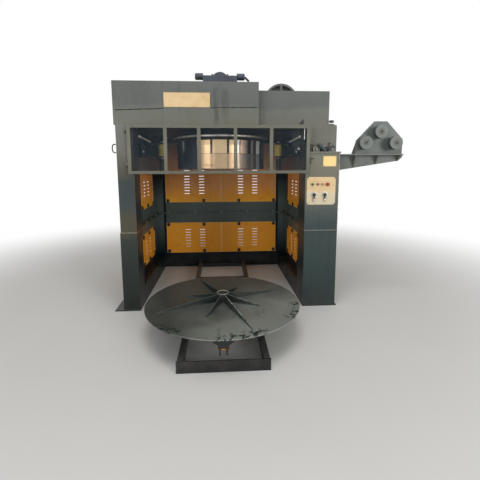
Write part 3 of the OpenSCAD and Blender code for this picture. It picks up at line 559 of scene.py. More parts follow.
@dataclass(frozen=True)
class MachinePaint:
    """Sprayed machine paint: a tone that drifts with height, cloudy patches, runs, dust and chips, with painted light
    and shade where a look gives them.
    """

    name: str
    tones: Stops
    gloss: float = 0.30
    patch: float = 0.25
    streaks: float = 0.2
    chips: float = 0.15
    dust: float = 0.5
    shine: float = 0.25
    pale: Triple = (150, 150, 138)
    run_colour: Triple = (40, 44, 42)
    stain_colour: Triple = (44, 46, 43)
    dust_colour: Triple = (128, 122, 108)
    dust_top: float = 0.32
    stains: tuple[tuple[float, float, float, float, float], ...] = ()
    # inner: the painted shade on the columns' inner faces.
    inner: Triple | None = None
    inner_x: Span = (0.9508, 0.9502)
    inner_y: Span = (-0.9496, -0.9490)
    slick: Span | None = None
    # side: a depth in y, and the painted shade on faces deeper than it.
    side: tuple[float, Triple] | None = None
    # outer: the tones of the same paint where it is lit, outside the frame: painted light.
    outer: Stops | None = None
    outer_x: Span = (1.0512, 1.0522)
    outer_y: Span = (0.800, 0.806)
    outer_z: Span = (2.101, 2.103)

    def material(self) -> bpy.types.Material:
        """Builds the paint: ramp over height plus noise, then patches, runs, stains, chips and dust; painted light
        outside, painted shade inside.

        Returns:
            The material.
        """
        net = Net(self.name)
        low, high = self.tones[0][0], self.tones[-1][0]
        drift = (net.noise(1.7, 3, 0.6) - 0.5) * 0.16 + (net.noise(9.0, 4, 0.6) - 0.5) * 0.05
        colour = net.ramp(net.z + drift, self.tones, low, max(high, low + 0.01))
        # Painted light: faces outside the frame take the outer tones, the same paint lit; the main tones hold the shade
        # inside.
        if self.outer:
            tone = net.ramp(net.z + drift, self.outer, self.outer[0][0], self.outer[-1][0])
            lit_outer_faces = net.x.fn("ABSOLUTE").step(*self.outer_x).fn("MAXIMUM", net.y.step(*self.outer_y))
            colour = net.mix(lit_outer_faces.fn("MAXIMUM", net.z.step(*self.outer_z)), colour, tone)
        cloud = net.noise(2.6, 5, 0.62, shift=3.1).step(0.35, 0.72)
        colour = net.mix(cloud * self.patch, colour, self.pale, "SOFT_LIGHT")
        run = net.noise(14.0, 4, 0.6, stretch=(1, 1, 0.06), shift=7.0).step(0.55, 0.75)
        colour = net.mix(run * self.streaks, colour, self.run_colour, "MULTIPLY")
        for x0, x1, z0, z1, strength in self.stains:
            wave = (net.noise(22.0, 3, 0.6, stretch=(1, 1, 0.15), shift=1.3) - 0.5) * 0.05
            soft = 0.22 * (x1 - x0)
            across = (net.x + wave).step(x0 - soft, x0 + soft) * (net.x + wave).step(x1 + soft, x1 - soft)
            down = net.z.step(z0 - 0.06, z0 + 0.05) * net.z.step(z1 + 0.04, z1 - 0.04)
            grain = net.noise(30.0, 4, 0.7, stretch=(1, 1, 0.2)).step(0.25, 0.7)
            colour = net.mix(across * down * grain * strength, colour, self.stain_colour)
        speck = net.noise(46.0, 3, 0.65, shift=11.0).step(0.70, 0.74)
        where = net.noise(3.2, 2, 0.5, shift=5.0).step(0.45, 0.65)
        colour = net.mix(speck * where * self.chips, colour, self.pale)
        settle = net.z.step(self.dust_top, 0.0) * net.noise(6.0, 5, 0.7, shift=2.0).step(0.28, 0.75)
        colour = net.mix(settle * self.dust, colour, self.dust_colour)
        # Painted shade: the columns' inner faces, which face into the opening, turn darker.
        if self.inner:
            shaded_inner_faces = net.x.fn("ABSOLUTE").step(*self.inner_x) * net.y.step(*self.inner_y)
            colour = net.mix(shaded_inner_faces * 0.9, colour, self.inner)
        # Painted shade: faces deeper than the given y, such as the guide pulleys' sides, turn dark blue.
        if self.side:
            front, tone = self.side
            colour = net.mix(net.y.step(front, front + 0.003) * 0.85, colour, tone)
        rough = self.gloss + cloud * 0.10 + settle * (0.35 * self.dust) + run * 0.05
        if self.slick:
            low, high = self.slick
            rubbed = net.z.step(low - 0.01, low + 0.01) * net.z.step(high + 0.004, high - 0.004)
            rough = rough - rubbed * (self.gloss - 0.1)
        flat = net.bump(net.noise(3.0, 2, 0.5, shift=9.0), 0.004, 0.35)
        fine = net.bump(net.noise(260.0, 2, 0.5) + speck * (-0.6 * self.chips), 0.0003, 0.5, flat)
        return net.shade(Base_Color=colour, Roughness=rough, Normal=fine, Specular_IOR_Level=self.shine)


@dataclass(frozen=True)
class SheetPaint:
    """Yellow sprayed sheet: warm drift, browner towards the top as painted shade, a pale painted sheen, smudges and a
    low sheen.
    """

    name: str
    tones: Stops
    gloss: float = 0.34
    warm: Triple = (222, 150, 66)
    # haze: the colour of a painted sheen, paler and pinker, on the sheets' upper part.
    haze: Triple = (255, 196, 140)
    sheen_z: Span = (1.16, 1.26)
    smudge: Triple = (96, 66, 34)
    scratch: Triple = (214, 176, 118)

    def material(self) -> bpy.types.Material:
        """Builds the paint: ramp over height plus noise, a pale painted sheen, smudges near the louvres, waves in the
        sheet.

        Returns:
            The material.
        """
        net = Net(self.name)
        drift = (net.noise(2.2, 3, 0.6) - 0.5) * 0.30
        colour = net.ramp(net.z + drift, self.tones, self.tones[0][0], self.tones[-1][0])
        cloud = net.noise(3.4, 4, 0.6, shift=4.0).step(0.38, 0.75)
        colour = net.mix(cloud * 0.35, colour, self.warm, "SOFT_LIGHT")
        # Painted sheen: paler, pinker clouds on the upper part of the sheets.
        haze = net.noise(2.9, 4, 0.6, shift=12.0).step(0.46, 0.58) * net.z.step(*self.sheen_z)
        colour = net.mix(haze * 0.35, colour, self.haze)
        smudge = net.noise(7.5, 5, 0.7, shift=8.0).step(0.56, 0.72)
        colour = net.mix(smudge * 0.22, colour, self.smudge)
        scratch = net.noise(60.0, 2, 0.6, stretch=(0.15, 0.15, 1), shift=3.0).step(0.72, 0.76)
        colour = net.mix(scratch * 0.25, colour, self.scratch)
        rough = self.gloss + cloud * 0.12 + smudge * 0.12
        wave = net.bump(net.noise(2.4, 2, 0.5, shift=6.0), 0.010, 0.4)
        fine = net.bump(net.noise(240.0, 2, 0.5), 0.00025, 0.4, wave)
        return net.shade(Base_Color=colour, Roughness=rough, Normal=fine, Specular_IOR_Level=0.35)


@dataclass(frozen=True)
class CastPaint:
    """Paint on rough castings: grainy, oily in the hollows, darker towards the bottom."""

    name: str
    colour: Triple
    grime: Triple
    z0: float
    z1: float
    gloss: float = 0.42
    chip: Triple = (150, 148, 140)

    def material(self) -> bpy.types.Material:
        """Builds the paint: base mixed to a dark colour by noise and towards the bottom, over a grainy bump.

        Returns:
            The material.
        """
        net = Net(self.name)
        grain = net.noise(38.0, 4, 0.65)
        oily = net.noise(5.0, 5, 0.65, shift=2.0).step(0.42, 0.72)
        # Darker towards the bottom.
        low = (net.z + (net.noise(8.0, 3, 0.6) - 0.5) * 0.08).step(self.z1, self.z0)
        colour = net.mix(grain * 0.35, self.colour, tuple(min(255.0, c * 1.25) for c in self.colour))
        colour = net.mix(oily * 0.5 + low * 0.45, colour, self.grime)
        chip = net.noise(52.0, 3, 0.6, shift=6.0).step(0.71, 0.75)
        colour = net.mix(chip * 0.5, colour, self.chip)
        rough = self.gloss + grain * 0.2 - oily * 0.14
        return net.shade(Base_Color=colour, Roughness=rough,
                         Normal=net.bump(grain + net.noise(150.0, 2, 0.5) * 0.4, 0.0012, 0.5))


@dataclass(frozen=True)
class Metal:
    """Bare metal: brushed along one axis, dulled and stained in patches."""

    name: str
    colour: Triple
    stain: Triple
    rough: float = 0.25
    brush: Triple = (1, 1, 12)
    wear: float = 0.4
    grain: float = 0.3
    metal: float = 1.0

    def material(self) -> bpy.types.Material:
        """Builds the metal: brushed noise in colour, roughness and bump, with stains mixed in.

        Returns:
            The material.
        """
        net = Net(self.name)
        line = net.noise(70.0, 3, 0.6, stretch=self.brush)
        spot = net.noise(9.0, 5, 0.65, shift=4.0).step(0.48, 0.72)
        colour = net.mix(line * self.grain, self.colour, tuple(c * 0.62 for c in self.colour))
        colour = net.mix(spot * self.wear, colour, self.stain)
        rough = self.rough + line * 0.12 + spot * (0.35 * self.wear)
        metallic = self.metal - spot * (0.5 * self.wear * self.metal)
        return net.shade(Base_Color=colour, Roughness=rough, Metallic=metallic,
                         Normal=net.bump(line, 0.0002, 0.4))


@dataclass(frozen=True)
class DrumSteel:
    """The drum's polished wall with painted reflections: upright bands of light and dark round it, duller under the
    wire's track.
    """

    name: str = "drum_steel"
    # slate: the painted dark reflection; line: painted dark reflected lines and the track's edge; rub: a paler painted
    # reflection below the track.
    slate: Triple = (46, 54, 66)
    line: Triple = (50, 46, 42)
    rub: Triple = (160, 150, 138)
    ring: Triple = (40, 40, 42)
    track_z: float = 1.815

    def bands(self) -> Stops:
        """The angle round the axis in degrees at which each band of painted reflection starts, with its colour.

        Returns:
            The ramp's stops.
        """
        return ((-180, self.slate), (-151, (60, 68, 78)), (-145, (214, 218, 220)), (-142.8, (120, 126, 132)),
                (-139.5, self.slate),
                (-120.7, (206, 168, 138)), (-117.5, (230, 192, 146)), (-102.8, self.line), (-100.9, (255, 222, 168)),
                (-83.3, self.line), (-81.3, (236, 202, 154)), (-70.4, (254, 248, 236)), (-68.3, (72, 60, 50)),
                (-66.5, (240, 204, 172)), (-60.2, (168, 156, 144)), (-57.2, (52, 52, 54)), (-51.2, (190, 168, 152)),
                (-47, (76, 78, 80)), (-41, (254, 254, 250)), (-33, (44, 54, 64)))

    def lower_reflection_bands(self) -> Stops:
        """The bands of painted reflection below the track, where the wire has dulled them."""
        return ((-180, (42, 52, 64)), (-120.7, (216, 180, 140)), (-66.5, (118, 108, 96)), (-41, (70, 74, 78)),
                (-33, (42, 52, 62)))

    def material(self) -> bpy.types.Material:
        """Builds the steel: the painted reflections as a stepped ramp over the angle, wavered by noise, mottled below
        the track.

        Returns:
            The material.
        """
        net = Net(self.name)
        wave = (net.noise(7.0, 3, 0.5, stretch=(1, 1, 0.4)) - 0.5) * 1.2
        angle = net.y.fn("ARCTAN2", net.x) * (180 / math.pi) + wave
        colour = net.ramp(angle, self.bands(), -180, 180, "CONSTANT")
        low = (net.z + (net.noise(9.0, 3, 0.5) - 0.5) * 0.006).step(self.track_z + 0.004, self.track_z - 0.004)
        mottle = net.noise(70.0, 4, 0.7).step(0.3, 0.7)
        # Below the track the bands of painted reflection are duller.
        worn = net.ramp(angle, self.lower_reflection_bands(), -180, 180, "CONSTANT")
        colour = net.mix(low * (mottle * 0.35 + 0.5), colour, worn)
        # Painted reflection: on the left, the bright streaks fade to slate lower down.
        reflection_fade = angle.step(-125, -130) * (net.z + (net.noise(6.0, 3, 0.5) - 0.5) * 0.06).step(1.93, 1.80)
        colour = net.mix(reflection_fade, colour, self.slate)
        # Painted reflection: a paler mottled patch below the track in the bright band on the right.
        spot = angle.step(-66.5, -64) * angle.step(-44, -47) * low * mottle
        colour = net.mix(spot * 0.5, colour, self.rub)
        edge = (net.z - self.track_z).fn("ABSOLUTE").step(0.005, 0.002)
        colour = net.mix(edge * 0.6, colour, self.line)
        rings = net.noise(24.0, 3, 0.6, stretch=(0.3, 0.3, 24))
        colour = net.mix(rings * 0.18, colour, self.ring)
        # Painted highlight: the two white bands are barely metallic, so their white shows.
        painted_highlight = angle.step(-42, -40.5) * angle.step(-32.5, -34) + angle.step(-145.6, -144.6) * angle.step(-142, -143)
        return net.shade(Base_Color=colour, Roughness=rings * 0.04 + low * 0.04 + 0.285, Metallic=0.5 - painted_highlight * 0.45,
                         Normal=net.bump(rings, 0.0001, 0.15))


@dataclass(frozen=True)
class FlangeSteel:
    """The drum's flange: a painted highlight along the rim over a dark flare."""

    name: str = "flange_steel"
    # rim and rubbed: the two colours of the painted highlight along the rim.
    rim: Triple = (250, 242, 230)
    rubbed: Triple = (190, 182, 172)
    flare: Triple = (48, 45, 45)
    rim_z: float = 2.013

    def material(self) -> bpy.types.Material:
        """Builds the steel: dark below the rim's height, painted highlight above it, spotted along the rim.

        Returns:
            The material.
        """
        net = Net(self.name)
        wave = (net.noise(12.0, 3, 0.5) - 0.5) * 0.006
        rim = (net.z + wave).step(self.rim_z - 0.003, self.rim_z + 0.003)
        # Painted highlight: noise spots mix its two colours along the rim.
        rub = net.noise(9.0, 4, 0.65, shift=3.0).step(0.42, 0.62)
        bright = net.mix(rub, self.rubbed, self.rim)
        colour = net.mix(rim, self.flare, bright)
        return net.shade(Base_Color=colour, Roughness=0.36 - rim * 0.06 + rub * 0.04, Metallic=0.8 - rim * 0.4,
                         Normal=net.bump(net.noise(90.0, 3, 0.6), 0.0002, 0.3))


@dataclass(frozen=True)
class RollerCover:
    """The ochre cover of a press roller, matt, with dark wear rings and grime."""

    name: str = "ochre_roller"
    colour: Triple = (224, 200, 92)
    grime: Triple = (112, 98, 52)

    def material(self) -> bpy.types.Material:
        """Builds the cover: mottled ochre, darker in rings over height.

        Returns:
            The material.
        """
        net = Net(self.name)
        mottle = net.noise(26.0, 5, 0.7)
        ring = net.noise(8.0, 3, 0.6, stretch=(0.2, 0.2, 9), shift=3.0).step(0.5, 0.7)
        colour = net.mix(mottle.step(0.3, 0.75) * 0.6, self.colour, self.grime)
        colour = net.mix(ring * 0.4, colour, self.grime)
        return net.shade(Base_Color=colour, Roughness=mottle * 0.25 + 0.5, Normal=net.bump(mottle, 0.0012, 0.6))


@dataclass(frozen=True)
class PlateFinish:
    """A pale control or name plate: brushed, yellowed in clouds, washed out low down and scratched there."""

    name: str = "beige_plate"
    colour: Triple = (226, 198, 152)
    aged: Triple = (198, 162, 112)
    washed: Triple = (204, 194, 172)
    yellow: Triple = (246, 216, 136)
    brushed: Triple = (150, 128, 92)
    scratched: Triple = (130, 124, 106)
    washed_z: Span = (1.385, 1.335)
    yellow_x: Span = (1.000, 1.010)
    yellow_z: Span = (1.590, 1.600)

    def material(self) -> bpy.types.Material:
        """Builds the plate: brushed noise along X and yellowed clouds; paler low on the panel, yellower over it.

        Returns:
            The material.
        """
        net = Net(self.name)
        line = net.noise(60.0, 3, 0.6, stretch=(0.08, 1, 1))
        cloud = net.noise(9.0, 4, 0.6, shift=2.0).step(0.35, 0.75)
        colour = net.mix(cloud * 0.5, self.colour, self.aged)
        colour = net.mix(line * 0.2, colour, self.brushed)
        low = (net.z + (net.noise(14.0, 3, 0.6) - 0.5) * 0.06).step(*self.washed_z)
        colour = net.mix(low * 0.7, colour, self.washed)
        colour = net.mix(net.x.step(*self.yellow_x) * net.z.step(*self.yellow_z) * 0.7, colour, self.yellow)
        scratch = net.noise(34.0, 4, 0.7, stretch=(1, 1, 0.5), shift=5.0).step(0.66, 0.72) * low
        colour = net.mix(scratch * 0.5, colour, self.scratched)
        return net.shade(Base_Color=colour, Roughness=line * 0.15 + 0.34, Metallic=0.15,
                         Normal=net.bump(line, 0.0002, 0.4))


@dataclass(frozen=True)
class IronPaint:
    """Black or charcoal paint on iron, rubbed bare here and there, dusty near the floor."""

    name: str
    colour: Triple
    bare: Triple = (120, 118, 110)
    rough: float = 0.42
    rub: float = 0.35
    dust: float = 0.4
    dust_colour: Triple = (118, 112, 100)
    dust_top: float = 0.30

    def material(self) -> bpy.types.Material:
        """Builds the paint: base, rubbed patches, floor dust and a fine grain.

        Returns:
            The material.
        """
        net = Net(self.name)
        patch = net.noise(11.0, 5, 0.65).step(0.55, 0.72)
        fleck = net.noise(70.0, 3, 0.6, shift=2.0).step(0.66, 0.72)
        colour = net.mix(net.noise(30.0, 3, 0.6) * 0.4, self.colour, tuple(c * 1.5 for c in self.colour))
        colour = net.mix(fleck * patch * self.rub, colour, self.bare)
        settle = net.z.step(self.dust_top, 0.0) * net.noise(8.0, 5, 0.7, shift=5.0).step(0.35, 0.75)
        colour = net.mix(settle * self.dust, colour, self.dust_colour)
        rough = self.rough + patch * 0.15 + settle * 0.2
        return net.shade(Base_Color=colour, Roughness=rough, Normal=net.bump(net.noise(120.0, 3, 0.6), 0.0005, 0.4))


@dataclass(frozen=True)
class ButtonPlastic:
    """The push buttons: one colour for each place along X, with a soft shine."""

    name: str = "button_plastic"
    edges: tuple[float, float, float] = (1.065, 1.124, 1.180)
    colours: tuple[Triple, Triple, Triple, Triple] = ((52, 92, 58), (140, 62, 54), (176, 152, 60), (158, 44, 38))
    worn: Triple = (70, 60, 50)

    def material(self) -> bpy.types.Material:
        """Builds the plastic: the colour changes at each edge between two buttons.

        Returns:
            The material.
        """
        net = Net(self.name)
        colour: Any = self.colours[0]
        for edge, following in zip(self.edges, self.colours[1:]):
            colour = net.mix(net.x.fn("GREATER_THAN", edge), colour, following)
        worn = net.noise(60.0, 4, 0.6).step(0.5, 0.75)
        colour = net.mix(worn * 0.25, colour, self.worn)
        return net.shade(Base_Color=colour, Roughness=worn * 0.2 + 0.25)


@dataclass(frozen=True)
class Pane:
    """A clear window sheet, almost all see-through, with a faint haze and smears."""

    name: str = "window_pane"
    clear: Triple = (70, 84, 96)
    smeared: Triple = (120, 128, 130)

    def material(self) -> bpy.types.Material:
        """Builds the pane: a low alpha that grows in smears, smooth and slightly blue.

        Returns:
            The material.
        """
        net = Net(self.name)
        smear = net.noise(4.0, 4, 0.6, stretch=(1, 1, 0.5)).step(0.5, 0.8)
        colour = net.mix(smear, self.clear, self.smeared)
        return net.shade(Base_Color=colour, Roughness=smear * 0.12 + 0.04, Alpha=smear * 0.05 + 0.09)


@dataclass(frozen=True)
class DiscPlate:
    """The turntable's rolled plate under thin paint: cloudy, scraped, with dark chips at the rim, and paler towards the
    front right as painted light.
    """

    name: str = "turntable_plate"
    colour: Triple = (74, 79, 75)
    # pale: the painted light on the plate towards the front right.
    pale: Triple = (150, 156, 148)
    dark: Triple = (20, 38, 34)
    scraped: Triple = (62, 66, 60)
    fin: Triple = (20, 30, 28)
    fin_wear: Triple = (92, 100, 92)
    fin_z: Span = (0.302, 0.306)
    centre_y: float = -1.441
    rim: float = 0.766
    chipped: tuple[tuple[float, float], ...] = ((-145, -118), (-97, -58), (-38, -4))

    def material(self) -> bpy.types.Material:
        """Builds the plate: distance from the hub gives the rim where the noise chips are let in.

        Returns:
            The material.
        """
        net = Net(self.name)
        y = net.y - self.centre_y
        from_hub = (net.x * net.x + y * y).fn("SQRT")
        cloud = net.noise(2.4, 5, 0.62).step(0.3, 0.72)
        # Painted light: paler towards the front right, where the light falls, darker towards the back.
        bare = (net.x * 0.72 - y * 0.70 + (cloud - 0.5) * 0.20).step(-0.10, 0.66)
        colour = net.mix(bare * 0.9 + cloud * 0.1, self.colour, self.pale)
        scrape = net.noise(9.0, 5, 0.7, stretch=(1.0, 0.35, 1), shift=3.0).step(0.58, 0.66)
        colour = net.mix(scrape * 0.3, colour, self.scraped)
        rim = (from_hub + (net.noise(5.0, 3, 0.6) - 0.5) * 0.10).step(self.rim - 0.13, self.rim - 0.05)
        chips = net.noise(21.0, 5, 0.66, stretch=(1.0, 0.9, 1), shift=6.0).step(0.52, 0.545)
        angle = y.fn("ARCTAN2", net.x) * (180 / math.pi)
        side = sum((angle.step(a, a + 5) * angle.step(b, b - 5) for a, b in self.chipped), 0.0)
        colour = net.mix(chips * rim * side, colour, self.dark)
        fleck = net.noise(34.0, 3, 0.6, shift=9.0).step(0.69, 0.72)
        colour = net.mix(fleck * 0.8, colour, self.dark)
        raised = net.z.step(*self.fin_z)
        colour = net.mix(raised * 0.85, colour, self.fin)
        edge = net.noise(40.0, 3, 0.6, shift=2.0).step(0.45, 0.7) * raised
        colour = net.mix(edge * 0.25, colour, self.fin_wear)
        rough = 0.28 + cloud * 0.12 + chips * rim * 0.1
        wave = net.bump(net.noise(2.0, 2, 0.5, shift=5.0), 0.006, 0.3)
        fine = net.bump(net.noise(110.0, 3, 0.6) - chips * rim * side, 0.0006, 0.5, wave)
        return net.shade(Base_Color=colour, Roughness=rough, Metallic=0.25, Normal=fine)


@dataclass(frozen=True)
class WeldFinish:
    """A weld bead, bare or painted over: scaly and uneven."""

    name: str
    colour: Triple
    scale: Triple
    metallic: float = 0.3
    grain: float = 90.0

    def material(self) -> bpy.types.Material:
        """Builds the bead: scaly noise in colour and bump.

        Returns:
            The material.
        """
        net = Net(self.name)
        scaly = net.noise(self.grain, 4, 0.7)
        colour = net.mix(scaly.step(0.35, 0.7), self.colour, self.scale)
        return net.shade(Base_Color=colour, Roughness=scaly * 0.3 + 0.35, Metallic=self.metallic,
                         Normal=net.bump(scaly, 0.001, 0.7))


class Look(Enum):
    """The named finishes of this machine."""

    # The columns' tones paint the glare and reflections of their gloss over dark green paint: lighter and olive higher
    # up; inner is painted shade.
    LEFT_COLUMN = MachinePaint("left_column_paint", (
        (0.0, (30, 37, 35)), (0.25, (36, 43, 40)), (0.60, (40, 48, 45)), (0.86, (50, 56, 50)), (0.95, (76, 72, 58)),
        (1.12, (74, 71, 58)), (1.25, (56, 66, 66)), (1.48, (50, 60, 60)), (1.60, (78, 76, 64)), (1.80, (104, 104, 96)),
        (2.10, (114, 115, 112))), gloss=0.28, dust=0.12, inner=(34, 44, 50))
    # Here too the tones paint the gloss's glare: lighter above about 1.3 m; inner is painted shade.
    RIGHT_COLUMN = MachinePaint("right_column_paint", (
        (0.0, (44, 54, 53)), (0.15, (46, 58, 58)), (0.60, (54, 68, 68)), (1.00, (60, 72, 72)), (1.15, (76, 86, 82)),
        (1.35, (110, 110, 98)), (1.67, (122, 120, 106)), (2.00, (124, 124, 116))), gloss=0.30, dust=0.12,
        inner=(34, 44, 50))
    # The tones paint the shade inside the frame: darkest near the floor and under the roof; the outer tones are the
    # same paint lit.
    FRAME = MachinePaint("dark_green_paint", (
        (0.0, (8, 18, 22)), (0.25, (10, 24, 29)), (0.72, (80, 92, 90)), (1.10, (84, 96, 93)), (1.50, (34, 45, 50)),
        (2.10, (34, 48, 64))), gloss=0.30, streaks=0.1, dust=0.15, slick=(1.58, 1.785), outer=(
            (0.0, (40, 49, 48)), (0.60, (50, 61, 59)), (1.00, (66, 75, 71)), (1.50, (96, 100, 92)),
            (2.13, (104, 106, 99))))
    ARM = MachinePaint("arm_paint", ((1.60, (26, 38, 46)), (2.10, (30, 44, 54))), gloss=0.55, patch=0.1, streaks=0.1,
                       shine=0.08)
    HOOD = MachinePaint("grey_green_paint", (
        (1.50, (100, 100, 88)), (1.62, (104, 104, 92)), (1.80, (116, 116, 104)), (2.10, (110, 110, 100)),
        (2.28, (108, 110, 104)), (2.32, (98, 102, 99)), (2.60, (104, 107, 104))), gloss=0.34,
        stains=((-0.075, -0.02, 2.12, 2.50, 0.55), (0.01, 0.085, 2.16, 2.47, 0.45), (-1.20, -0.72, 2.30, 2.70, 0.2)))
    OUTRIGGER = MachinePaint("outrigger_paint", (
        (1.60, (104, 108, 100)), (1.79, (110, 115, 110)), (2.20, (104, 112, 110))), gloss=0.34)
    # side paints the shade on the pulleys' sides in dark blue.
    GUIDE = MachinePaint("guide_paint", ((1.80, (112, 117, 111)), (2.20, (110, 116, 112))), gloss=0.34,
                         side=(-0.912, (46, 58, 68)))
    # The ramp turns browner towards the top: painted shade under the roof.
    YELLOW = SheetPaint("yellow_paint", (
        (0.25, (246, 168, 44)), (0.75, (248, 170, 50)), (1.10, (255, 182, 44)), (1.24, (250, 172, 58)),
        (1.38, (238, 164, 92)), (1.62, (254, 172, 90)), (1.80, (250, 166, 94)), (2.05, (206, 144, 104))))
    GEARBOX = CastPaint("blue_grey_paint", (59, 65, 76), (32, 36, 42), 2.50, 2.85)
    CHROME = Metal("bright_steel", (196, 196, 192), (110, 106, 98), 0.22)
    RING = FlangeSteel()
    ESCUTCHEON = Metal("escutcheon_metal", (226, 222, 206), (120, 112, 92), 0.34, (1, 1, 1), 0.6, 0.3, 0.2)
    # Near-white and barely metallic, so the rods look as bright as polished steel catching light: painted reflection.
    ROD = Metal("rod_steel", (250, 246, 240), (190, 180, 168), 0.3, (1, 1, 12), 0.2, 0.1, 0.25)
    WORN = Metal("worn_steel", (112, 114, 116), (58, 58, 58), 0.34, (1, 1, 1), 0.6)
    ZINC = Metal("bolt_zinc", (168, 166, 156), (92, 84, 70), 0.36, (1, 1, 1), 0.5)
    ROLLER_STEEL = Metal("roller_steel", (116, 116, 104), (58, 60, 54), 0.40, (1, 1, 1), 0.7, 0.5, 0.45)
    LEVER = IronPaint("lever_paint", (25, 38, 52), (84, 92, 98), 0.4, 0.3, 0.0)
    # Pale edge strips: wear and painted highlight.
    EDGE_WEAR_AND_HIGHLIGHT = WeldFinish("edge_wear", (120, 122, 112), (214, 212, 200), 0.1, 18.0)
    BRASS = Metal("tow_brass", (182, 150, 84), (92, 78, 50), 0.34, (1, 1, 1), 0.5)
    DRUM = DrumSteel()
    ROLLER = RollerCover()
    PLATE = PlateFinish()
    PLATE_RIM = PlateFinish("plate_rim", (150, 138, 112), (104, 92, 70))
    BLACK = IronPaint("black_iron", (20, 21, 22))
    RAIL = IronPaint("rail_paint", (52, 56, 54), (130, 130, 120), rub=0.5, dust=0.25)
    CHARCOAL = IronPaint("charcoal_paint", (13, 14, 15), rub=0.35, dust=0.16)
    BUTTONS = ButtonPlastic()
    PANE = Pane()
    DISC = DiscPlate()
    BARE_WELD = WeldFinish("bare_weld", (172, 168, 156), (96, 94, 86), 0.3)
    DARK_WELD = WeldFinish("painted_weld", (58, 60, 56), (34, 36, 34))
    PALE_WELD = WeldFinish("pale_weld", (128, 128, 118), (92, 92, 84))
    FIN_EDGE = WeldFinish("fin_edge", (52, 60, 56), (96, 104, 98), 0.0, 40.0)
    # Pale fin edges: wear and painted highlight.
    WORN_LIT_EDGE = WeldFinish("worn_edge", (40, 48, 45), (196, 200, 192), 0.2, 26.0)
    # The lips' paler yellow paints the highlight along the sheets' folded edges.
    HIGHLIT_LIP = SheetPaint("sheet_lip", ((0.2, (255, 200, 124)), (1.1, (255, 204, 136)), (2.1, (220, 180, 140))), 0.3)
    # Pale paint in the joint between the sheets: the painted highlight of their edges.
    JOINT = SheetPaint("joint_paint", ((0.2, (255, 214, 150)), (2.1, (250, 214, 170))), 0.3)


class Finishes:
    """Makes each finish once."""

    def __init__(self) -> None:
        """Starts with none made."""
        self.made: dict[Look, bpy.types.Material] = {}

    def get(self, look: Look) -> bpy.types.Material:
        """The material of a look.

        Args:
            look: the finish.

        Returns:
            The material, made on its first use.
        """
        if look not in self.made:
            self.made[look] = look.value.material()
        return self.made[look]


@dataclass
class Assembly:
    """A sub-assembly: it turns surfaces into pieces and gives the CAD nodes their finishes."""

    frame: dict[str, Any]
    finishes: Finishes
    count: int = 0
    sharp_angle: float = 38.0
    merge_gap: float = 2e-5

    def piece(self, name: str, shape: Shape, look: Look, body: str = "frame", slot: str = "dark_green_paint") -> None:
        """Makes a piece at the origin, with its place in its mesh.

        Args:
            name: its name.
            shape: its surface.
            look: its finish.
            body: the CAD body that it rides on.
            slot: the record's material slot; not used.
        """
        mesh = bpy.data.meshes.new(name)
        mesh.from_pydata(shape.points.tolist(), [], shape.faces.tolist())
        work = bmesh.new()
        work.from_mesh(mesh)
        bmesh.ops.remove_doubles(work, verts=work.verts, dist=self.merge_gap)
        bmesh.ops.recalc_face_normals(work, faces=work.faces)
        work.to_mesh(mesh)
        work.free()
        mesh.shade_smooth()
        mesh.set_sharp_from_angle(angle=math.radians(self.sharp_angle))
        mesh.materials.append(self.finishes.get(look))
        made = bpy.data.objects.new(name, mesh)
        bpy.context.scene.collection.objects.link(made)
        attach(made, body)
        self.count += 1
        log.info("%s: %d points on %s", name, len(mesh.vertices), body)

    def dress(self, look: Look, *nodes: str) -> None:
        """Gives CAD nodes a finish.

        Args:
            look: the finish.
            nodes: the nodes' names.
        """
        for name in nodes:
            made = self.frame["nodes"][name]
            if not made.material_slots:
                made.data.materials.append(None)
            for slot in made.material_slots:
                slot.material = self.finishes.get(look)
            log.info("%s: dressed in %s", name, look.name)


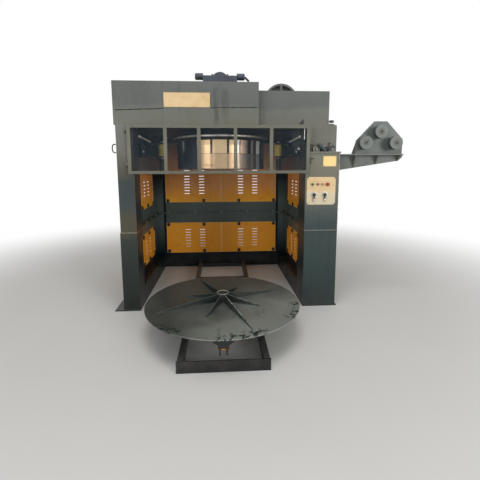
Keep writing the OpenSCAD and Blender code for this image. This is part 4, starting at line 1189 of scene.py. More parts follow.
@dataclass
class Portal(Assembly):
    """The frame: columns, posts, rails, sills and side plates, with their welds and the bolts of the joint."""

    in_x: float = 0.950
    left_out: float = 1.138
    right_out: float = 1.337
    front_y: float = -0.950
    left_back: float = -0.70
    right_back: float = -0.65
    seam_z: float = 0.919
    seam_proud: float = 0.0035
    seam_r: float = 0.0030
    inner_seam_r: float = 0.0026
    foot_z: float = 0.014
    foot_r: float = 0.006
    # The spans of the pale edge strips: wear and painted highlight.
    worn_lit_corner_z: Span = (0.95, 1.790)
    worn_lit_post_x: float = 0.981
    worn_lit_post_z: Span = (1.93, 2.09)
    wear: float = 0.6
    back_y: float = 0.785
    flange_top: float = 0.925
    bolt_size: float = 0.024
    bolt_proud: float = 0.0125
    rear_bolt_x: tuple[float, ...] = (-0.866, -0.43, 0.0, 0.43, 0.86)
    side_bolt_x: float = 1.004
    side_bolt_y: tuple[float, ...] = (-0.25, 0.06, 0.40, 0.71)

    def build(self) -> None:
        """Dresses the frame and adds its welds and bolts."""
        self.dress(Look.LEFT_COLUMN, "left_front_column")
        self.dress(Look.RIGHT_COLUMN, "right_front_column")
        self.dress(Look.FRAME, "rear_posts", "sills", "mid_rails", "top_rails", "side_plates", "roof_plate")
        self.dress(Look.ARM, "arm_brackets", "left_press_arm", "right_press_arm")
        self.dress(Look.RAIL, "rails")
        self.dress(Look.CHARCOAL, "base_plates", "rail_cross_bars", "trolley")
        self.seams()
        self.feet()
        self.worn_lit_edges()
        self.bolts()

    def seams(self) -> None:
        """The bare seam round both columns, on their fronts and their inner faces."""
        y, z, inner = self.front_y - self.seam_proud, self.seam_z, self.in_x - 0.0005
        left_inner = -self.in_x + 0.0005
        seams = [bead((-self.left_out, y, z), (-self.in_x, y, z), self.seam_r, 1),
                 bead((self.in_x, y, z), (self.right_out, y, z), self.seam_r, 2),
                 bead((left_inner, y, z), (left_inner, self.left_back, z), self.inner_seam_r, 3),
                 bead((inner, y, z), (inner, self.right_back, z), self.inner_seam_r, 4)]
        self.piece("column_seams", Shape.joined(*seams), Look.BARE_WELD)

    def feet(self) -> None:
        """The painted beads at the columns' feet, on their fronts and their outer faces."""
        y, z, r = self.front_y + 0.001, self.foot_z, self.foot_r
        feet = [bead((-self.left_out, y, z), (-self.in_x, y, z), r, 5),
                bead((self.in_x, y, z), (self.right_out, y, z), r, 6),
                bead((-self.left_out, self.front_y, z), (-self.left_out, self.left_back, z), r, 7),
                bead((self.right_out, self.front_y, z), (self.right_out, self.right_back, z), r, 8)]
        self.piece("foot_welds", Shape.joined(*feet), Look.DARK_WELD)

    def worn_lit_edges(self) -> None:
        """Pale strips on the upright edges of the right column and of the post beside the die panel: wear and painted
        highlight.
        """
        x, y = self.right_out - 0.001, self.front_y - 0.0012
        post_x, post_y = self.worn_lit_post_x, self.front_y - 0.0005
        (low, high), (post_low, post_high) = self.worn_lit_corner_z, self.worn_lit_post_z
        edges = [bead((x, y, low), (x, y, high), 0.0030, 9, 1.0, self.wear),
                 bead((post_x, post_y, post_low), (post_x, post_y, post_high), 0.0026, 10, 1.0, self.wear)]
        self.piece("column_edge_wear", Shape.joined(*edges), Look.EDGE_WEAR_AND_HIGHLIGHT)

    def bolts(self) -> None:
        """The bolts through the joint between the frame's lower and upper halves."""
        rear = [(x, self.back_y - self.bolt_proud, self.flange_top) for x in self.rear_bolt_x]
        side = [(s * self.side_bolt_x, y, self.flange_top) for s in (-1, 1) for y in self.side_bolt_y]
        self.piece("joint_bolts", hex_bolt(self.bolt_size).stamped(rear + side), Look.ZINC, slot="bright_steel")


@dataclass
class Sheets(Assembly):
    """The yellow louvred sheets, their folded lips painted pale with their highlight, and the black clips that hold
    them.
    """

    face_y: float = 0.785
    face_x: float = 1.050
    rear_x: tuple[Span, ...] = ((-0.911, -0.003), (0.003, 0.911))
    rear_z: tuple[Span, ...] = ((0.240, 0.750), (1.090, 2.046))
    side_y: Span = (-0.296, 0.456)
    side_z: tuple[Span, ...] = ((0.315, 0.750), (1.090, 1.580))
    lip: float = 0.0026
    lip_corner: float = 0.008
    post_x: float = 0.931
    post_edge_w: float = 0.036
    joint_w: float = 0.009
    joint_t: float = 0.0040
    joints: tuple[Span, ...] = ((0.495, 0.505), (1.568, 0.950))
    slot_x: tuple[float, ...] = (-0.5590, -0.3210, 0.3210, 0.5590)
    slot_y: tuple[float, ...] = (-0.0830, 0.1450)
    slot_w: float = 0.092
    slot_h: float = 0.014
    slot_pitch: float = 0.047
    slot_lip: float = 0.0028
    rear_rows: tuple[tuple[float, int], ...] = ((0.343, 7), (1.228, 13))
    side_rows: tuple[tuple[float, int], ...] = ((0.343, 7), (1.257, 5))
    clip_x: tuple[float, ...] = (-0.875, -0.29, 0.29, 0.875)
    clip_y: tuple[float, ...] = (-0.262, 0.08, 0.424)
    rear_clip_z: Triple = (0.272, 0.722, 1.118)
    side_clip_z: Triple = (0.345, 0.722, 1.118)
    clip_sink: float = 0.001

    def build(self) -> None:
        """Dresses the sheets and adds lips, strips and clips."""
        self.dress(Look.YELLOW, "rear_lower_panels", "rear_upper_panels", "side_lower_panels", "side_upper_panels")
        # The lips' pale paint is the painted highlight of the folded edges.
        rear = [self.rim(x, z).moved(0, self.face_y, 0) for x in self.rear_x for z in self.rear_z]
        self.piece("rear_sheet_lips", Shape.joined(*rear), Look.HIGHLIT_LIP, slot="yellow_paint")
        side = [self.rim(self.side_y, z).turned("Z", 90).moved(s * self.face_x, 0, 0)
                for s in (-1, 1) for z in self.side_z]
        self.piece("side_sheet_lips", Shape.joined(*side), Look.HIGHLIT_LIP, slot="yellow_paint")
        self.strips()
        self.slot_lips()
        self.clips()

    def rim(self, span: Span, height: Span) -> Shape:
        """A thin tube along a sheet's rim: a small circle carried round a rounded rectangle in XZ.

        Args:
            span: the sheet's two ends.
            height: its two heights.

        Returns:
            The tube.
        """
        w, h = span[1] - span[0] - 2 * self.lip, height[1] - height[0] - 2 * self.lip
        ring = wire(upright(rounded(w, h, self.lip_corner, 3)), self.lip)
        return ring.moved(sum(span) / 2, 0, sum(height) / 2)

    def strips(self) -> None:
        """The strips on the posts beside the rear sheets, and the pale ones in the joint between the sheets, which
        paint the highlight of the sheets' edges.
        """
        low, high = self.rear_z[0][0], self.rear_z[1][1]
        edge = slab(rounded(self.post_edge_w, high - low, 0.002), 0.005, 0.001).turned("X", 90)
        places = [(s * self.post_x, self.face_y + 0.0005, (high + low) / 2) for s in (-1, 1)]
        self.piece("post_edges", edge.stamped(places), Look.ARM)
        joints = [slab(rounded(self.joint_w, h, 0.002), self.joint_t, 0.0012).turned("X", 90).moved(
            0, self.face_y + 0.0004, z) for z, h in self.joints]
        self.piece("sheet_joint_strips", Shape.joined(*joints), Look.JOINT, slot="yellow_paint")

    def slot_lips(self) -> None:
        """The rolled lip round every slot: a small circle carried round a rounded rectangle, stamped in rows."""
        lip = wire(upright(rounded(self.slot_w, self.slot_h, 0.004, 2)), self.slot_lip)
        turned = lip.turned("Z", 90)
        rear = [(x, self.face_y, z) for row in self.rear_rows for x in self.slot_x for z in self.heights(*row)]
        side = [(y, z) for row in self.side_rows for y in self.slot_y for z in self.heights(*row)]
        sides = [turned.stamped([(s * self.face_x, y, z) for y, z in side]) for s in (-1, 1)]
        self.piece("slot_lips", Shape.joined(lip.stamped(rear), *sides), Look.YELLOW, slot="yellow_paint")

    def heights(self, first: float, count: int) -> list[float]:
        """The middle heights of a column's slots, from the underside of its lowest slot."""
        return [first + self.slot_h / 2 + i * self.slot_pitch for i in range(count)]

    def clips(self) -> None:
        """The clips on the sheets' rims: rounded blocks with a screw, which face into the opening."""
        block = slab(rounded(0.046, 0.052, 0.008), 0.013, 0.003)
        one = Shape.joined(block, socket_screw(0.014).moved(0, 0, 0.012)).turned("X", 90)
        x, y = self.face_x - self.clip_sink, self.face_y - self.clip_sink
        clips = [one.stamped([(clip_x, y, z) for clip_x in self.clip_x for z in self.rear_clip_z])]
        for s in (-1, 1):
            places = [(s * x, y, z) for y in self.clip_y for z in self.side_clip_z]
            clips.append(one.turned("Z", -90 * s).stamped(places))
        self.piece("sheet_clips", Shape.joined(*clips), Look.BLACK, slot="black_iron")


@dataclass
class Hoods(Assembly):
    """The two hood boxes over the opening, with their weld lines, plate frames and small brackets."""

    left: Span = (-1.146, 0.417)
    right: Span = (0.417, 1.240)
    front_y: float = -0.950
    right_y: float = -0.830
    seam_z: float = 2.284
    right_seam_z: float = 2.205
    seam_rough: float = 2.4
    plate_x: Span = (-0.610, -0.110)
    plate_z: Span = (2.284, 2.441)
    small_plate_x: Span = (1.150, 1.300)
    small_plate_z: Span = (1.650, 1.766)
    rivet_inset: float = 0.011
    # corner: the points of the black triangle that paints the shadow where the right hood is set back.
    corner: tuple[Span, ...] = ((0.894, 2.132), (0.948, 2.132), (0.948, 2.188))
    step_place: Span = (1.266, 2.158)
    handle_x: Span = (-1.134, -1.152)
    handle_y: float = -0.949
    handle_z: float = 1.8485
    handle_reach: Span = (0.020, 0.044)
    handle_r: float = 0.006

    def build(self) -> None:
        """Dresses the hoods and adds what is fixed to them."""
        self.dress(Look.HOOD, "left_hood", "right_hood")
        self.dress(Look.PLATE, "name_plates")
        self.seams()
        self.plate_frames()
        self.corner_pieces()
        self.handle()

    def seams(self) -> None:
        """The rough dark seam to both sides of the left hood's plate, and the right hood's pale one."""
        y, z = self.front_y, self.seam_z
        rough = [bead((self.left[0] + 0.02, y, z - 0.03), (self.plate_x[0] - 0.004, y, z - 0.012),
                      0.0050, 11, 1.0, self.seam_rough),
                 bead((self.plate_x[1] + 0.004, y, z), (self.left[1] - 0.01, y, z + 0.006),
                      0.0046, 12, 1.0, self.seam_rough)]
        self.piece("left_hood_seam", Shape.joined(*rough), Look.DARK_WELD, slot="grey_green_paint")
        y, z = self.right_y, self.right_seam_z
        pale = bead((self.right[0] + 0.01, y, z), (self.right[1] - 0.02, y, z + 0.004), 0.003, 13)
        self.piece("right_hood_seam", pale, Look.PALE_WELD, slot="grey_green_paint")

    def plate_frames(self) -> None:
        """A thin raised rim round both bare plates, with a rivet at each corner."""
        rims, rivets = [], []
        profile = [(0, 0), (0.0045, 0), (0.0042, 0.0012), (0.0026, 0.0022), (0, 0.0026)]
        rivet = turned_part(profile, 12).facing(FRONT)
        y, by = self.front_y - 0.002, self.rivet_inset
        for (x0, x1), (z0, z1) in ((self.plate_x, self.plate_z), (self.small_plate_x, self.small_plate_z)):
            ring = rounded(x1 - x0 - 0.004, z1 - z0 - 0.004, 0.004, 3)
            rims.append(wire(upright(ring, (x0 + x1) / 2, y, (z0 + z1) / 2), 0.0022))
            rivets += [(x, y, z) for x in (x0 + by, x1 - by) for z in (z0 + by, z1 - by)]
        self.piece("name_plate_rims", Shape.joined(*rims), Look.PLATE_RIM, slot="beige_plate")
        self.piece("name_plate_rivets", rivet.stamped(rivets), Look.ZINC, slot="bright_steel")

    def corner_pieces(self) -> None:
        """A black triangle that paints the shadow in the gap where the right hood is set back, and the step bracket
        under the right hood.
        """
        corner = np.array(self.corner)
        x, z = corner.mean(0)
        # Painted shadow: a black plate in the corner where the right hood is set back.
        triangle = slab(corner - corner.mean(0), 0.008, 0.0015).turned("X", 90).moved(x, self.right_y + 0.001, z)
        x, z = self.step_place
        step = slab(rounded(0.048, 0.026, 0.003), 0.030, 0.002).turned("X", 90).moved(x, self.right_y, z)
        self.piece("hood_corner_pieces", Shape.joined(triangle, step), Look.BLACK, slot="black_iron")

    def handle(self) -> None:
        """The handle on the left column: a half ellipse (a cos t, b sin t) with its ends on the column's face."""
        foot_x, middle_x = self.handle_x
        y, z, reach = self.handle_y, self.handle_z, self.handle_reach
        bend = upright(arc(1.0, 90, 270, 19) * np.array(reach), middle_x, y, z)
        path = np.concatenate([[[foot_x, y, z + reach[1]]], bend, [[foot_x, y, z - reach[1]]]])
        self.piece("column_handle", wire(path, self.handle_r, 10, closed=False), Look.BLACK, slot="black_iron")


@dataclass
class Drive(Assembly):
    """The gearbox, the motor with its cowl and the belt guard, on the roof plate."""

    box_x: float = 0.228
    box_y: float = 0.250
    shoulder_z: float = 2.725
    roof_top: float = 2.125
    cap_z: float = 2.862
    cap_end: float = 0.325
    cap_bolt_r: float = 0.033
    split_drop: float = 0.030
    fitting: tuple[Span, ...] = ((0.329, 2.856), (0.345, 2.852), (0.372, 2.826), (0.392, 2.806))
    split_bolt_x: tuple[float, ...] = (-0.20, -0.07, 0.07, 0.20)
    foot_bolt_x: float = 0.268
    foot_bolt_y: tuple[float, ...] = (-0.26, -0.09, 0.09, 0.26)
    drive_z: float = 2.524
    motor_x: float = 0.810
    motor_bolt_x: float = 0.130
    motor_bolt_y: Span = (0.05, 0.27)
    eye_r: float = 0.017
    eye_y: float = 0.17
    eye_z: float = 0.205
    cowl_y: float = -0.150
    grille_r: tuple[float, float, float, float] = (0.040, 0.060, 0.185, 0.199)
    grille_wire: float = 0.0022
    guard_y: float = 0.462
    swage_r: float = 0.150
    guard_bolt_x: tuple[float, ...] = (0.0, 0.27, 0.54, 0.81)
    guard_bolt_z: float = 0.178

    def build(self) -> None:
        """Dresses the drive and adds covers, bolts, the grille and the guard's swage."""
        self.dress(Look.GEARBOX, "gearbox", "motor")
        self.dress(Look.HOOD, "fan_cowl", "belt_guard")
        self.covers()
        self.bolts()
        self.lifting_eye()
        self.grille()
        self.guard()

    def covers(self) -> None:
        """Turned ends on the cross shaft's caps, the housing's split flange and the black fitting on the right."""
        profile = [(0, 0.005), (0.018, 0.005), (0.022, 0.009), (0.034, 0.009), (0.040, 0.003), (0.040, 0), (0, 0)]
        end = turned_part(profile, 28)
        caps = [end.facing((s, 0, 0)).moved(s * self.cap_end, 0, self.cap_z) for s in (-1, 1)]
        self.piece("cross_shaft_ends", Shape.joined(*caps), Look.GEARBOX, slot="blue_grey_paint")
        band = rounded(2 * self.box_x + 0.012, 2 * self.box_y + 0.012, 0.012)
        path = np.concatenate([band, np.full((len(band), 1), self.shoulder_z - self.split_drop)], 1)
        outline = np.array([[-0.004, -0.011], [0.006, -0.011], [0.009, -0.006], [0.009, 0.006], [0.006, 0.011],
                            [-0.004, 0.011]])
        self.piece("gearbox_split_flange", carried(path, outline, closed=True), Look.GEARBOX, slot="blue_grey_paint")
        fitting = wire(upright(np.array(self.fitting)), 0.014, 12, closed=False)
        self.piece("gearbox_oil_fitting", fitting, Look.BLACK, slot="black_iron")

    def bolts(self) -> None:
        """The bolts of the caps, the split flange and the feet."""
        ring = circle(self.cap_bolt_r, 4, 45)
        shapes = []
        for s in (-1, 1):
            places = [(s * (self.cap_end + 0.007), y, self.cap_z + z) for y, z in ring]
            shapes.append(hex_bolt(0.009, washer=False).facing((s, 0, 0)).stamped(places))
        z, y = self.shoulder_z - 0.019, self.box_y + 0.004
        flange = [(x, s * y, z) for x in self.split_bolt_x for s in (-1, 1)]
        shapes.append(hex_bolt(0.014, washer=False).stamped(flange))
        feet = [(s * self.foot_bolt_x, y, self.roof_top + 0.040) for s in (-1, 1) for y in self.foot_bolt_y]
        shapes.append(hex_bolt(0.024).stamped(feet))
        motor_feet = [(self.motor_x + s * self.motor_bolt_x, y, self.roof_top + 0.060)
                      for s in (-1, 1) for y in self.motor_bolt_y]
        shapes.append(hex_bolt(0.020).stamped(motor_feet))
        self.piece("drive_bolts", Shape.joined(*shapes), Look.ZINC, slot="bright_steel")

    def lifting_eye(self) -> None:
        """The motor's lifting eye: a round bar carried round a circle, on a turned foot."""
        ring = wire(upright(circle(self.eye_r, 28)), 0.0055, 8).moved(0, 0, 0.026)
        foot = turned_part([(0, 0), (0.014, 0), (0.014, 0.005), (0.008, 0.010), (0, 0.012)], 20)
        eye = Shape.joined(ring, foot).moved(self.motor_x, self.eye_y, self.drive_z + self.eye_z)
        self.piece("motor_lifting_eye", eye, Look.GEARBOX, slot="blue_grey_paint")

    def grille(self) -> None:
        """The wire grille in the fan cowl: rings round the axis and straight wires across."""
        inner, first, last, outer = self.grille_r
        y, wires = self.cowl_y + 0.012, []
        for r in np.linspace(first, last, 6):
            wires.append(wire(upright(circle(r, 48), self.motor_x, y, self.drive_z), self.grille_wire))
        y = self.cowl_y + 0.016
        for way in circle(1.0, 16, 11.25):
            spoke = np.linspace(inner, outer, 4)[:, None] * way
            wires.append(wire(upright(spoke, self.motor_x, y, self.drive_z), self.grille_wire, closed=False))
        self.piece("fan_grille", Shape.joined(*wires), Look.BLACK, slot="black_iron")

    def guard(self) -> None:
        """The belt guard's pressed swage, a wire round two half circles, and its bolts."""
        y, z, r = self.guard_y, self.drive_z, self.swage_r
        left = upright(arc(r, 90, 270, 24), 0, y, z)
        right = upright(arc(r, -90, 90, 24), self.motor_x, y, z)
        swage = wire(np.concatenate([left, right]), 0.006, 8).moved(0, -0.002, 0)
        self.piece("belt_guard_swage", swage, Look.HOOD, slot="grey_green_paint")
        spots = [(x, y - 0.002, z + s * self.guard_bolt_z) for x in self.guard_bolt_x for s in (-1, 1)]
        self.piece("belt_guard_bolts", hex_bolt(0.013).facing(BACK).stamped(spots), Look.ZINC, slot="bright_steel")


@dataclass
class DrumSet(Assembly):
    """The drum with its flange, deck and shaft."""

    bolt_r: float = 0.160
    bolt_z: float = 2.052
    bolt_n: int = 8

    def build(self) -> None:
        """Dresses the drum and puts hexagon heads on the shaft plate's bolts."""
        self.dress(Look.DRUM, "drum")
        self.dress(Look.RING, "drum_flange")
        self.dress(Look.CHROME, "drum_shaft")
        spots = [(x, y, self.bolt_z) for x, y in circle(self.bolt_r, self.bolt_n)]
        self.piece("drum_bolts", hex_bolt(0.030, 0.016, washer=False).stamped(spots), Look.ZINC, "drum", "bright_steel")


@dataclass
class GuardDoor(Assembly):
    """The windowed guard door, its hinges and its latch."""

    back_y: float = -0.955
    sill_top: float = 1.607
    mullions: tuple[float, ...] = (-0.600, -0.238, 0.160, 0.556)
    rod_place: Span = (0.925, -0.968)
    rod_z: Span = (1.947, 2.070)
    rod_r: float = 0.0035
    seal_place: Triple = (-0.972, -0.9495, 1.840)

    def build(self) -> None:
        """Dresses the door and adds the mullions' feet, the stile's rod and the seal on the column."""
        self.dress(Look.HOOD, "guard_door")
        self.dress(Look.PANE, "guard_windows")
        self.dress(Look.BLACK, "door_hinges", "door_latch")
        foot = np.array([[-0.024, 0.0], [0.024, 0.0], [0.015, 0.026], [-0.015, 0.026]])
        feet = slab(foot, 0.032, 0.002).turned("X", 90).stamped(
            [(x, self.back_y + 0.001, self.sill_top) for x in self.mullions])
        self.piece("mullion_feet", feet, Look.HOOD, "guard_door", "grey_green_paint")
        path = np.stack([*(np.full(6, v) for v in self.rod_place), np.linspace(*self.rod_z, 6)], -1)
        self.piece("stile_rod", wire(path, self.rod_r, 8, closed=False), Look.ROD, "guard_door", "bright_steel")
        seal = slab(rounded(0.046, 0.500, 0.002), 0.0035, 0.001).turned("X", 90).moved(*self.seal_place)
        self.piece("door_seal", seal, Look.BLACK, slot="black_iron")


@dataclass
class PressArms(Assembly):
    """The two press arms with their rollers, pull rods and pivots; the sizes are the left arm's."""

    pivot: Span = (-0.900, -0.725)
    roller: Span = (-0.775, -0.1505)
    nut_z: Span = (1.976, 1.782)
    bolt_z: float = 1.826
    knob_z: float = 1.856
    rod_ends: tuple[Triple, Triple] = ((-0.930, -0.735, 2.000), (-0.856, -0.470, 1.957))
    rod_r: float = 0.009
    ball_r: float = 0.015
    tube_ends: tuple[Triple, Triple] = ((-0.858, -0.480, 1.9585), (-0.836, -0.400, 1.9455))
    foot_place: Triple = (-0.8585, -0.438, 1.884)
    foot_turn: float = 5.3

    def build(self) -> None:
        """Dresses the rollers and adds nuts, bolts, the pull rods over the arms and a knob on the right arm."""
        self.dress(Look.ROLLER, "left_press_roller", "right_press_roller")
        for side, sign in (("left", 1), ("right", -1)):
            body = f"{side}_press_arm"
            self.piece(f"{side}_arm_nuts", self.nuts(sign), Look.CHROME, body, "bright_steel")
            self.piece(f"{side}_arm_bolt", self.bolt(sign), Look.WORN, body, "bright_steel")
            self.piece(f"{side}_pull_rod", self.rod(sign), Look.ROD, body, "bright_steel")
            self.piece(f"{side}_pull_cylinder", self.cylinder(sign), Look.ARM, body)
        profile = [(0, 0), (0.008, 0), (0.008, 0.008), (0.013, 0.012), (0.015, 0.020), (0.012, 0.028), (0, 0.031)]
        knob = turned_part(profile, 20).facing(FRONT).moved(
            -self.pivot[0] + 0.012, self.pivot[1] - 0.0265, self.knob_z)
        self.piece("right_arm_knob", knob, Look.ROD, "right_press_arm", "bright_steel")

    def nuts(self, sign: int) -> Shape:
        """The nuts above and below the roller's pin.

        Args:
            sign: 1 for the left arm and -1 for the right one, here and in the next methods.

        Returns:
            The surface.
        """
        (x, y), (above, below) = self.roller, self.nut_z
        nut = hex_bolt(0.034, 0.016, washer=False)
        return Shape.joined(nut.moved(sign * x, y, above), nut.turned("X", 180).moved(sign * x, y, below))

    def bolt(self, sign: int) -> Shape:
        """A bolt head on the front of the arm's boss."""
        x, y = self.pivot
        return hex_bolt(0.014).facing((sign * 0.45, -0.89, 0)).moved(sign * (x + 0.0132), y - 0.0265, self.bolt_z)

    def ends(self, places: tuple[Triple, Triple], sign: int) -> list[np.ndarray]:
        """A bar's two ends, mirrored for the right arm."""
        return [np.array([sign * x, y, z]) for x, y, z in places]

    def rod(self, sign: int) -> Shape:
        """The bright pull rod above the arm: a straight round bar with a ball at its front end.

        Args:
            sign: 1 for the left arm.

        Returns:
            The surface.
        """
        a, b = self.ends(self.rod_ends, sign)
        bar = carried(a + np.linspace(0, 1, 8)[:, None] * (b - a), circle(self.rod_r, 12))
        ball = turned_part(arc(self.ball_r, -90, 90, 13), 20).moved(*a)
        return Shape.joined(bar, ball)

    def cylinder(self, sign: int) -> Shape:
        """The spring housing that the rod runs into, on a foot that stands on the arm's top edge.

        Args:
            sign: 1 for the left arm.

        Returns:
            The surface.
        """
        a, b = self.ends(self.tube_ends, sign)
        length = float(np.linalg.norm(b - a))
        profile = [(0, 0), (0.016, 0), (0.020, 0.004), (0.020, length - 0.004), (0.016, length), (0, length)]
        tube = turned_part(profile, 24).facing(tuple((b - a) / length)).moved(*a)
        x, y, z = self.foot_place
        foot = slab(rounded(0.048, 0.060, 0.006), 0.064, 0.002).turned("Z", -sign * self.foot_turn)
        return Shape.joined(tube, foot.moved(sign * x, y, z))


@dataclass
class DieTable(Assembly):
    """The die table with its wire rollers, the die box and the small guides."""

    top_z: float = 1.815
    roller_y: float = -0.888
    roller_x: Span = (1.081, 1.256)
    roller_z: float = 1.844
    guide_x: float = 1.017
    guide_y: float = -0.905
    guide_z: Span = (1.86, 1.897)
    ring_place: Span = (1.036, 1.885)
    ring_r: float = 0.012
    hook_y: float = -0.925
    hook: tuple[Span, ...] = ((1.216, 1.860), (1.216, 1.892), (1.206, 1.908), (1.222, 1.914), (1.234, 1.902))
    lever_y: float = -0.943
    lever: tuple[Span, ...] = ((1.178, 1.824), (1.150, 1.850), (1.118, 1.878), (1.092, 1.900))
    crank: tuple[Span, ...] = ((1.234, 1.824), (1.240, 1.862), (1.256, 1.880), (1.276, 1.862))
    screw_y: float = -0.923
    screws: tuple[Span, ...] = ((1.125, 1.872), (1.150, 1.838), (1.165, 1.880))
    weld_x: Span = (1.00, 1.345)
    weld_y: float = -0.962
    weld_z: float = 1.7985

    def build(self) -> None:
        """Dresses the table and adds caps, the guide post with its ring, the clamp and the table's weld."""
        self.dress(Look.HOOD, "die_table")
        self.dress(Look.FRAME, "die_box")
        self.dress(Look.ROLLER_STEEL, "left_die_roller", "right_die_roller")
        cap = turned_part([(0, 0.006), (0.013, 0.006), (0.016, 0.003), (0.016, 0), (0, 0)], 20).facing(FRONT)
        caps = cap.stamped([(x, self.roller_y - 0.031, self.roller_z) for x in self.roller_x])
        self.piece("die_roller_caps", caps, Look.WORN, slot="bright_steel")
        self.guide()
        self.clamp()
        screws = socket_screw(0.012).facing(FRONT).stamped([(x, self.screw_y, z) for x, z in self.screws])
        self.piece("die_box_screws", screws, Look.ZINC, slot="bright_steel")
        (x0, x1), y, z = self.weld_x, self.weld_y, self.weld_z
        self.piece("table_weld", bead((x0, y, z), (x1, y, z), 0.003, 21), Look.PALE_WELD, slot="grey_green_paint")

    def bar(self, places: Sequence[Span], y: float, outline: np.ndarray) -> Shape:
        """An outline carried along the pairs (x, z) at one y."""
        return carried(upright(np.array(places), 0, y), outline, BACK)

    def guide(self) -> None:
        """The guide post with the ring that the wire runs through."""
        foot = self.top_z - 0.001
        places = [(self.guide_x, z) for z in (foot, *self.guide_z)]
        post = self.bar(places, self.guide_y, rounded(0.014, 0.022, 0.003, 2))
        x, z = self.ring_place
        ring = wire(upright(circle(self.ring_r, 24), x, self.guide_y, z), 0.003, 8)
        self.piece("wire_guide", Shape.joined(post, ring), Look.BLACK, slot="black_iron")

    def clamp(self) -> None:
        """The die clamp's hook, its flat lever and its round crank."""
        places = [(self.hook[0][0], self.top_z - 0.001), *self.hook]
        hook = self.bar(places, self.hook_y, rounded(0.012, 0.016, 0.003, 2))
        self.piece("die_clamp_hook", hook, Look.BLACK, slot="black_iron")
        lever = self.bar(self.lever, self.lever_y, rounded(0.032, 0.018, 0.005))
        crank = self.bar(self.crank, self.lever_y, circle(0.0085, 10))
        self.piece("die_clamp_levers", Shape.joined(lever, crank), Look.LEVER)


@dataclass
class ControlPanel(Assembly):
    """The control plate with its buttons and two rotary levers."""

    face_y: float = -0.953
    cap_y: float = -0.969
    button_z: float = 1.449
    button_x: tuple[float, ...] = (1.034, 1.096, 1.152, 1.208)
    button_r: tuple[float, ...] = (0.012, 0.012, 0.012, 0.020)
    lever_x: Span = (1.051, 1.175)
    lever_z: float = 1.331
    tip_drop: float = 0.066
    screw_x: Span = (0.994, 1.275)
    screw_z: Span = (1.242, 1.506)

    def build(self) -> None:
        """Dresses the plate and adds bezels, domed caps, screws and the levers' bright parts."""
        self.dress(Look.PLATE, "control_plate")
        self.dress(Look.BUTTONS, "push_buttons")
        self.dress(Look.BLACK, "left_lever", "right_lever")
        self.buttons()
        self.levers()
        screws = [(x, self.face_y, z) for x in self.screw_x for z in self.screw_z]
        self.piece("panel_screws", socket_screw(0.010).facing(FRONT).stamped(screws), Look.ZINC, slot="bright_steel")

    def buttons(self) -> None:
        """The bezels of the three small buttons and the domed caps of all four."""
        profile = [(0.0172, 0), (0.0172, 0.005), (0.0160, 0.0075), (0.0135, 0.0075), (0.0128, 0.004), (0.0128, 0),
                   (0.0172, 0)]
        bezels = turned_part(profile, 28).facing(FRONT).stamped(
            [(x, self.face_y, self.button_z) for x in self.button_x[:3]])
        self.piece("button_bezels", bezels, Look.CHROME, slot="bright_steel")
        caps = []
        for x, r in zip(self.button_x, self.button_r):
            profile = [(0, 0), (r, 0), (r * 0.96, 0.0025), (r * 0.75, 0.0048), (r * 0.4, 0.0062), (0, 0.0066)]
            caps.append(turned_part(profile, 24).facing(FRONT).moved(x, self.cap_y, self.button_z))
        self.piece("button_caps", Shape.joined(*caps), Look.BUTTONS, slot="button_plastic")

    def levers(self) -> None:
        """The levers' escutcheons on the plate, and the tip and the ring that turn with each lever."""
        profile = [(0.0250, 0), (0.0370, 0), (0.0370, 0.0022), (0.0340, 0.0036), (0.0270, 0.0036), (0.0250, 0.0020),
                   (0.0250, 0)]
        plates = turned_part(profile, 32).facing(FRONT).stamped(
            [(x, self.face_y + 0.0005, self.lever_z) for x in self.lever_x])
        self.piece("lever_escutcheons", plates, Look.ESCUTCHEON, slot="bright_steel")
        tip = turned_part([(0, -0.012), (0.007, -0.010), (0.0085, 0), (0.0085, 0.018), (0.006, 0.024), (0, 0.026)], 20)
        profile = [(0.0235, 0), (0.0235, 0.003), (0.021, 0.005), (0.019, 0.005), (0.019, 0), (0.0235, 0)]
        ring = turned_part(profile, 32).facing(FRONT)
        for name, x in zip(("left_lever", "right_lever"), self.lever_x):
            trim = Shape.joined(tip.moved(x, self.face_y - 0.018, self.lever_z - self.tip_drop),
                                ring.moved(x, self.face_y - 0.0135, self.lever_z))
            self.piece(f"{name}_trim", trim, Look.CHROME, name, "bright_steel")


